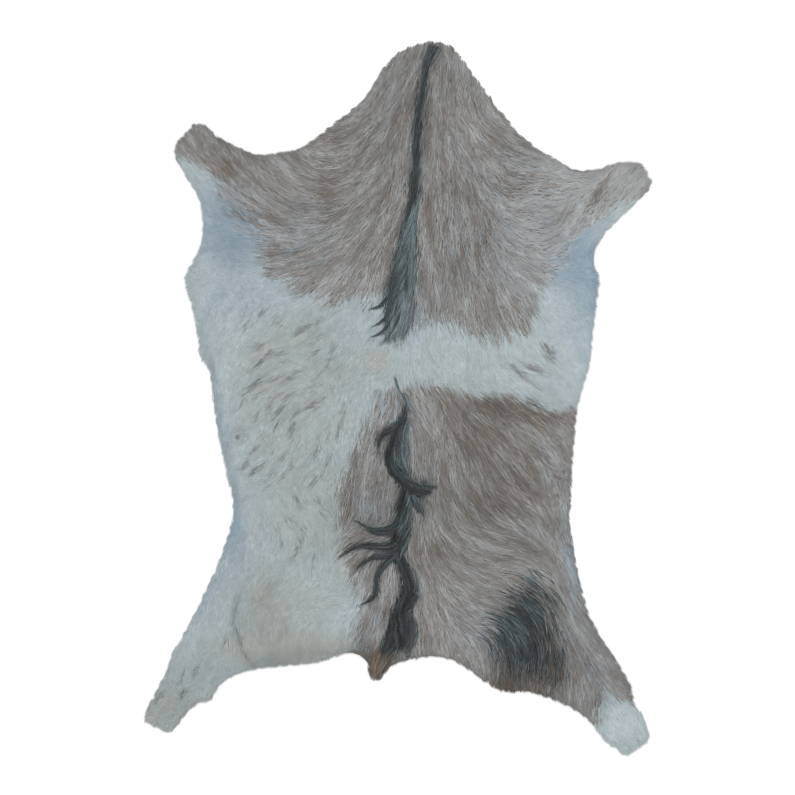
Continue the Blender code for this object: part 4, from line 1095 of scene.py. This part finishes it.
# The long hair of the back, lock by lock, with its reach in millimetres: each row of a path is x mm,
# y mm, half width mm and height over the coat mm. The tints run across it: the first is at its -X
# side where it runs to the tail, and at its +Y side where it runs to -X.
maneLocks = {
    "neckCrown": {
        "hairs": 170, "reach": 40, "under": 0.5, "sweep": 0.3, "shade": 0.97,
        "tints": ("slate", "black", "slate"), "path": [
            (48, 494, 10, 0.2), (42, 474, 9, 0.4), (37, 450, 6, 0.8), (34, 425, 5, 1.0),
            (30, 395, 5, 1.0)]},
    "neckStripe": {
        "hairs": 700, "reach": 45, "sweep": 0.4, "wave": 0.4, "shade": 0.8,
        "tints": ("slate", "black", "slate"), "path": [
            (37, 458, 4, 0.5), (34, 430, 4.2, 1.0), (29, 400, 4.8, 1.4), (26, 375, 5.6, 1.6),
            (25, 345, 5.6, 1.8), (24, 310, 6, 2), (21, 280, 6.2, 2), (14, 245, 7, 2.2), (4, 205, 5, 2)]},
    "neckFan": {
        "hairs": 900, "reach": 55, "sweep": 1.1, "tints": ("slate", "teal", "teal"), "path": [
            (23, 280, 4, 1.6), (19, 252, 6.5, 2.4), (13, 226, 9, 3), (8, 193, 12, 3.2),
            (2, 158, 14, 3.4), (-4, 125, 13, 2.8), (-9, 95, 9, 1.6), (-12, 72, 4, 0.4)]},
    "neckFanEdge": {
        "hairs": 200, "reach": 50, "under": 0.4, "sweep": 0.2,
        "tints": ("black", "slate", "slate"), "path": [
            (14, 252, 2.5, 2.4), (7, 216, 2.5, 3), (1, 193, 3, 3.4), (-6, 166, 4, 3.4), (-11, 144, 5, 3),
            (-15, 118, 5, 2), (-20, 96, 2, 0.6)]},
    "neckPaleSide": {
        "hairs": 360, "reach": 55, "sweep": 0.5, "shade": 0.95,
        "tints": ("slate", "teal", "teal"), "path": [
            (21, 262, 3, 2.6), (19, 226, 5, 3.2), (17, 190, 7, 3.4), (15, 155, 8, 3.2),
            (12, 130, 7, 2.4)]},
    "neckPaleTips": {
        "hairs": 250, "reach": 45, "under": 0.4, "sweep": 0.3, "shade": 1.05,
        "tints": ("teal", "teal", "teal"), "path": [
            (14, 156, 6, 3), (12, 128, 9, 2.6), (8, 102, 9, 1.6), (3, 78, 5, 0.4)]},
    "neckFlickA": {
        "hairs": 90, "reach": 45, "under": 0.35, "tints": ("black", "slate", "slate"), "path": [
            (8, 205, 3, 3.4), (1, 178, 4, 3.4), (-9, 151, 4.5, 3), (-20, 134, 3.5, 2.4),
            (-32, 126, 2.2, 1.6), (-46, 123, 0.6, 0.6)]},
    "neckFlickB": {
        "hairs": 80, "reach": 42, "under": 0.35, "shade": 1.1,
        "tints": ("slate", "black", "slate"), "path": [
            (3, 168, 4, 3.4), (-5, 141, 5, 3), (-14, 119, 4, 2.4), (-26, 105, 2.5, 1.4),
            (-41, 98, 0.6, 0.5)]},
    "neckFlickC": {
        "hairs": 80, "reach": 42, "under": 0.35, "shade": 1.1,
        "tints": ("slate", "black", "slate"), "path": [
            (3, 148, 5, 3.4), (-4, 123, 5, 3), (-12, 104, 4.5, 2.4), (-24, 91, 2.5, 1.4),
            (-43, 84, 0.6, 0.5)]},
    "neckFlickD": {
        "hairs": 80, "reach": 42, "under": 0.35, "shade": 1.05,
        "tints": ("slate", "slate", "teal"), "path": [
            (5, 130, 5, 3), (-3, 106, 5, 2.4), (-12, 88, 3.5, 1.4), (-29, 72, 0.8, 0.4)]},
    "thinStrands": {
        "hairs": 20, "reach": 35, "under": 0.12, "shade": 1.15,
        "tints": ("teal", "teal", "slate"), "path": [
            (-6, 34, 3, 0.6), (0, 12, 3, 1.2), (8, -4, 3, 2), (11, -18, 2, 2)]},
    "thinStrandRight": {
        "hairs": 22, "reach": 34, "under": 0.2, "shade": 1.1, "tints": ("teal", "slate", "teal"), "path": [
            (8, 8, 2, 1), (14, -6, 2, 1.6), (22, -22, 2, 1.4), (32, -34, 1, 0.6)]},
    "curl": {
        "hairs": 280, "reach": 36, "sweep": 0.3, "shade": 0.9,
        "tints": ("slate", "black", "slate"), "path": [
            (9, -6, 1, 1), (10, -19, 2.6, 3), (4, -34, 5, 5), (-8, -43, 5.6, 5), (-20, -50, 4.4, 4),
            (-28, -62, 2, 1.5), (-30, -72, 0.8, 0.5)]},
    "bowBand": {
        "hairs": 620, "reach": 55, "shade": 0.87, "tints": ("black", "slate", "slate"), "path": [
            (9, -20, 3, 3), (-2, -44, 6, 5.5), (-12, -70, 7.5, 6), (-11, -92, 7.5, 6.5),
            (-2, -107, 7.5, 6), (12, -118, 7, 5), (28, -126, 6, 3.5), (44, -126, 3.6, 2),
            (58, -122, 0.8, 0.8)]},
    "bowSecond": {
        "hairs": 340, "reach": 45, "shade": 0.82, "tints": ("black", "slate", "slate"), "path": [
            (-6, -92, 5, 6), (4, -112, 7, 5.5), (17, -127, 7.5, 4.5), (32, -133, 6, 3),
            (50, -131, 1.4, 0.8)]},
    "bowPale": {
        "hairs": 290, "reach": 40, "under": 0.6, "sweep": -0.3, "shade": 0.88,
        "tints": ("slate", "teal", "teal"), "path": [
            (13, -28, 3, 3), (5, -48, 7, 5), (2, -72, 10, 6), (5, -94, 8, 5), (14, -108, 4.5, 2)]},
    "trunkWisps": {
        "hairs": 150, "reach": 38, "under": 0.5, "sweep": -0.4, "shade": 0.68,
        "tints": ("slate", "slate", "teal"), "path": [
            (12, -120, 4, 3.5), (19, -134, 6.5, 3), (26, -148, 7, 2.2), (36, -166, 3, 0.6)]},
    "trunk": {
        "hairs": 760, "reach": 45, "sweep": 0.7, "shade": 0.6,
        "tints": ("black", "slate", "teal"), "path": [
            (9, -108, 3, 4), (10, -126, 7, 5), (8, -150, 10, 6), (5, -176, 12, 6), (1, -200, 11.5, 6),
            (0, -218, 8.5, 5.5), (1, -236, 5, 5)]},
    "flickOne": {
        "hairs": 210, "reach": 58, "under": 0.4, "shade": 0.86,
        "tints": ("slate", "black", "slate"), "path": [
            (9, -138, 6, 6), (5, -160, 7, 6), (-4, -176, 6, 5.5), (-20, -184, 4.6, 4.5),
            (-42, -181, 3, 3), (-64, -169, 0.7, 0.8)]},
    "flickOneLow": {
        "hairs": 70, "reach": 55, "under": 0.3, "shade": 0.86,
        "tints": ("slate", "slate", "slate"), "path": [
            (8, -156, 6, 6), (2, -176, 6, 6), (-10, -187, 4, 5), (-28, -190, 2.4, 3.5),
            (-54, -181, 0.6, 0.8)]},
    "flickTwo": {
        "hairs": 370, "reach": 60, "under": 0.5, "shade": 0.92,
        "tints": ("black", "black", "slate"), "path": [
            (12, -174, 7, 6), (4, -196, 8, 6), (-8, -207, 7.5, 6), (-25, -209, 6.5, 5.5),
            (-42, -205, 5, 4.5), (-58, -207, 3.4, 3), (-72, -214, 1.8, 2), (-87, -225, 0.6, 0.8)]},
    "flickThree": {
        "hairs": 170, "reach": 55, "under": 0.45, "shade": 0.9,
        "tints": ("black", "slate", "slate"), "path": [
            (9, -188, 6.5, 6), (1, -209, 6, 6), (-14, -219, 5, 5.5), (-32, -221, 4, 4),
            (-48, -228, 2.6, 2.5), (-64, -244, 0.7, 0.8)]},
    "flickFour": {
        "hairs": 210, "reach": 50, "under": 0.4, "shade": 0.92,
        "tints": ("slate", "black", "slate"), "path": [
            (8, -200, 6.5, 6), (-3, -218, 6, 5.5), (-16, -229, 5, 5), (-26, -240, 4.4, 4.8),
            (-32, -254, 4, 4.5), (-30, -269, 3.4, 3.8), (-40, -284, 2.2, 2.4), (-59, -290, 0.6, 0.8)]},
    "lowerTrunk": {
        "hairs": 1000, "reach": 42, "sweep": 0.1, "wave": 1.8, "shade": 0.72,
        "tints": ("black", "slate", "slate"), "path": [
            (1, -216, 5, 5), (4, -232, 6.5, 6), (10, -246, 8.5, 6.5), (15, -262, 10, 6.5),
            (13, -282, 11.5, 6.5), (5, -299, 11.5, 6.5), (8, -322, 15, 6), (9, -343, 15.5, 4),
            (4, -359, 11, 1)]},
    "lowerTrunkLeft": {
        "hairs": 260, "reach": 42, "sweep": 0.2, "wave": 1.5, "shade": 0.72,
        "tints": ("black", "slate", "slate"), "path": [
            (8, -288, 6, 6), (-4, -306, 8, 6.5), (-8, -326, 8.5, 6), (-13, -345, 10.5, 4),
            (-19, -358, 10, 2), (-22, -372, 6, 0.8)]},
    "tailStub": {
        "hairs": 260, "reach": 30, "shade": 0.78, "tints": ("rust", "brown", "brown"), "path": [
            (-18, -350, 11, 1.5), (-25, -366, 11, 1.8), (-30, -381, 8, 1.2), (-32, -396, 4, 0.3)]}}
usualLock = {"under": 0.95, "sweep": 0.0, "wave": 1, "shade": 1}
mane = {
    "seed": 31, "roundness": 1.1, "halfWidth": 0.00048, "widthSpread": (0.7, 1.3), "roof": 0.7,
    "taper": 0.5, "taperCurve": 1.5, "stations": (0.0, 0.28, 0.62, 1.0), "pathSteps": 8,
    "lengthSpread": (0.6, 1.15), "startBefore": 0.3, "scatter": 0.55, "widest": 1.4, "drawIn": 0.3,
    "sweepFrom": 0.4, "aim": 0.002, "strands": 12, "strandRun": 0.03, "strandShift": 3,
    "strandScatter": 0.35, "strandKinds": 100, "strandLevel": (0.35, 1.0), "hairLevel": 0.12,
    "strandSway": 6.3, "hairSway": 0.5, "swayAlong": 4, "wobble": 0.0016, "wobbleFull": 0.006,
    "leastTop": 0.0025, "mostTop": 0.009, "dome": 0.5, "rootHeight": 0.004, "riseCurve": 0.7,
    "strandTint": 0.9, "hairTint": 0.25, "tintEdge": 0.33, "stray": 0.35, "strayFrom": 0.75,
    "strayTone": 0.1, "placeScatter": 0.012, "strandShade": 0.34, "strandShadeLimits": (-0.35, 0.7),
    "hairShade": 0.18, "shade": 0.86, "rootDarkAndShade": 0.85, "tipGain": 0.25,
    "coverFall": 1.1, "coverMargin": 0.0015, "coverWithin": 0.1}

# Share of the coat's hairs that take the mane's dark tints: near 1 on a lock's line and 0 past its
# width. The tail stub keeps the coat's own tints.
nearMane = np.abs(gridX) < mane["coverWithin"]
under = np.zeros(nearMane.sum())
for name, lock in maneLocks.items():
    if name != "tailStub":
        lockPath = smoothPath(lock["path"], mane["pathSteps"]) * mm
        lockX, lockY, half, _ = (column[None, :] for column in lockPath.T)
        distance = np.hypot(gridX[nearMane][:, None] - lockX, gridY[nearMane][:, None] - lockY)
        cover = np.exp(-mane["coverFall"] * (distance / (half + mane["coverMargin"])) ** 2)
        under = np.maximum(under, (cover * {**usualLock, **lock}["under"]).max(axis=1))
fields["mane"] = np.zeros_like(gridX)
fields["mane"][nearMane] = under


# One lock of the mane: hairs start along its path at their own place across it, follow the path
# for their reach, and sweep towards the side of its first tint. Hairs side by side make strands of
# one tint and level, and a few at the edges stray out in teal.
def growLock(lock, dice):
    lock = {**usualLock, **lock}
    path = smoothPath(lock["path"], mane["pathSteps"]) * mm
    walked = np.concatenate([[0], np.cumsum(np.linalg.norm(np.diff(path[:, :2], axis=0), axis=1))])
    count, reach, widest, kinds = lock["hairs"], lock["reach"] * mm, mane["widest"], mane["strandKinds"]
    across = np.clip(dice.normal(scale=mane["scatter"], size=count), -widest, widest)
    length = reach * dice.uniform(*mane["lengthSpread"], count)
    before = mane["startBefore"] * reach
    start = -before + dice.random(count) * (walked[-1] - length + before)
    strand = (across + widest) / (2 * widest) * mane["strands"]
    strand = (strand + mane["strandScatter"] * dice.normal(size=count)).astype(int)
    strand = strand + (start / mane["strandRun"]).astype(int) * mane["strandShift"]
    strand = np.clip(strand, 0, kinds - 1)
    strandTint, strandShade = dice.random(kinds), mane["strandShade"] * dice.normal(size=kinds)
    strandLevel = dice.uniform(*mane["strandLevel"], kinds)
    strandSway = dice.uniform(0, mane["strandSway"], kinds)
    level = strandLevel[strand] + mane["hairLevel"] * dice.normal(size=count)
    sway = strandSway[strand] + mane["hairSway"] * dice.normal(size=count)
    centres = []
    for station in mane["stations"]:
        stop = np.clip(start + length * station, 0, None)
        x, y, half, rise = (np.interp(stop, walked, path[:, k]) for k in range(4))
        ahead, behind = np.minimum(stop + mane["aim"], walked[-1]), np.maximum(stop - mane["aim"], 0)
        runX, runY = (np.interp(ahead, walked, path[:, k]) - np.interp(behind, walked, path[:, k])
                      for k in (0, 1))
        size = np.hypot(runX, runY) + 1e-9
        place = across * (1 - mane["drawIn"] * station) - lock["sweep"] * (station - mane["sweepFrom"])
        wave = lock["wave"] * mane["wobble"] * np.minimum(half / mane["wobbleFull"], 1)
        side = place * half + wave * np.sin(sway + mane["swayAlong"] * station)
        x, y = x - runY / size * side, y + runX / size * side
        base = np.clip(lookUp(fields["top"], x, y), mane["leastTop"], mane["mostTop"])
        dome = rise * level * (1 - mane["dome"] * across ** 2)
        lift = math.sin(station * math.pi / 2) ** mane["riseCurve"]
        centres.append(np.column_stack([x, y, mane["rootHeight"] * (1 - lift) + (base + dome) * lift]))
    mix = across + mane["strandTint"] * (strandTint[strand] - 0.5) * 2
    mix = np.clip(mix + mane["hairTint"] * dice.normal(size=count), -1, 1)
    first, second, third = (pigmentPlace[tint] for tint in lock["tints"])
    place = np.where(mix < -mane["tintEdge"], first, np.where(mix < mane["tintEdge"], second, third))
    stray = (np.abs(across) > mane["strayFrom"]) & (dice.random(count) < mane["stray"])
    place = np.where(stray & (lock["tints"][0] != "rust"), pigmentPlace["teal"], place)
    place = np.clip(place + mane["placeScatter"] * dice.normal(size=count), 0.02, 0.98)
    tone = np.where(stray, mane["strayTone"], np.clip(strandShade[strand], *mane["strandShadeLimits"]))
    shade = mane["shade"] * lock["shade"] * (1 + tone + mane["hairShade"] * dice.normal(size=count))
    return np.stack(centres, axis=1), place, shade


# The mane: all its locks grown and joined in one piece
def plantMane(material):
    dice = np.random.default_rng(mane["seed"])
    grown = [growLock(lock, dice) for lock in maneLocks.values()]
    centres, place, shade = (np.concatenate(parts) for parts in zip(*grown))
    stations = np.array(mane["stations"])
    width = mane["halfWidth"] * dice.uniform(*mane["widthSpread"], len(place))
    taper = 1 - mane["taper"] * stations[:-1] ** mane["taperCurve"]
    # Darker at the root, lighter at the tip: partly the hair's own darker base, partly painted shade deep in
    # the mane
    values = shade[:, None] * (mane["rootDarkAndShade"] + mane["tipGain"] * stations)[None, :]
    arrays = hairArrays(centres, width[:, None] * taper, mane["roof"], place, values, mane["roundness"])
    return joinedMesh("maneHair", [arrays], material)


stage("skin and wool")
hairFinish, skinFinish = hairMaterial(), skinMaterial()
skin = makeHide(skinFinish)
hairPieces = [makeWool(hairFinish)]
stage("coat")
hairPieces += plantCoat(hairFinish)
stage("mane")
hairPieces.append(plantMane(hairFinish))

# Light: a large soft lamp high on the upper left, and an even pale surround
studio = {"floor": 9.0, "floorColour": (0.92, 0.92, 0.92, 1), "surround": 1.05,
          "lampAt": (-2.6, 3.2, 5.0), "lampSize": 3.0, "lampPower": 95}


# Floor, surround and lamp, which aren't part of the rug
def makeStudio():
    side = studio["floor"] / 2
    mesh = bpy.data.meshes.new("floor")
    corners = [(-side, -side, 0), (side, -side, 0), (side, side, 0), (-side, side, 0)]
    mesh.from_pydata(corners, [], [(0, 1, 2, 3)])
    material, _, shader = newMaterial("paleFloor", 0.9, 0.0)
    shader.inputs["Base Color"].default_value = studio["floorColour"]
    mesh.materials.append(material)
    floor = bpy.data.objects.new("floor", mesh)
    bpy.context.scene.collection.objects.link(floor)
    world = bpy.data.worlds.new("surround")
    world.use_nodes = True
    background = world.node_tree.nodes["Background"]
    background.inputs["Color"].default_value = (1, 1, 1, 1)
    background.inputs["Strength"].default_value = studio["surround"]
    bpy.context.scene.world = world
    data = bpy.data.lights.new("softLamp", "AREA")
    data.shape, data.size, data.energy = "DISK", studio["lampSize"], studio["lampPower"]
    lamp = bpy.data.objects.new("softLamp", data)
    lamp.location = studio["lampAt"]
    lamp.rotation_euler = (-lamp.location).to_track_quat("-Z", "Y").to_euler()
    bpy.context.scene.collection.objects.link(lamp)
    bpy.context.scene.view_settings.view_transform = "Standard"


stage("camera and light")
placeCamera()
makeStudio()

for piece in hairPieces:
    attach(piece, "root")
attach(skin, "root")
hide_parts("goatskin")
hideArea = 0.5 * abs(np.sum(rim[:, 0] * np.roll(rim[:, 1], -1) - np.roll(rim[:, 0], -1) * rim[:, 1]))
triangles = {piece.name: len(piece.data.loops) - 2 * len(piece.data.polygons)
             for piece in [skin, *hairPieces]}
stage(f"{sum(triangles.values())} triangles, at most {max(triangles.values())} in a piece")
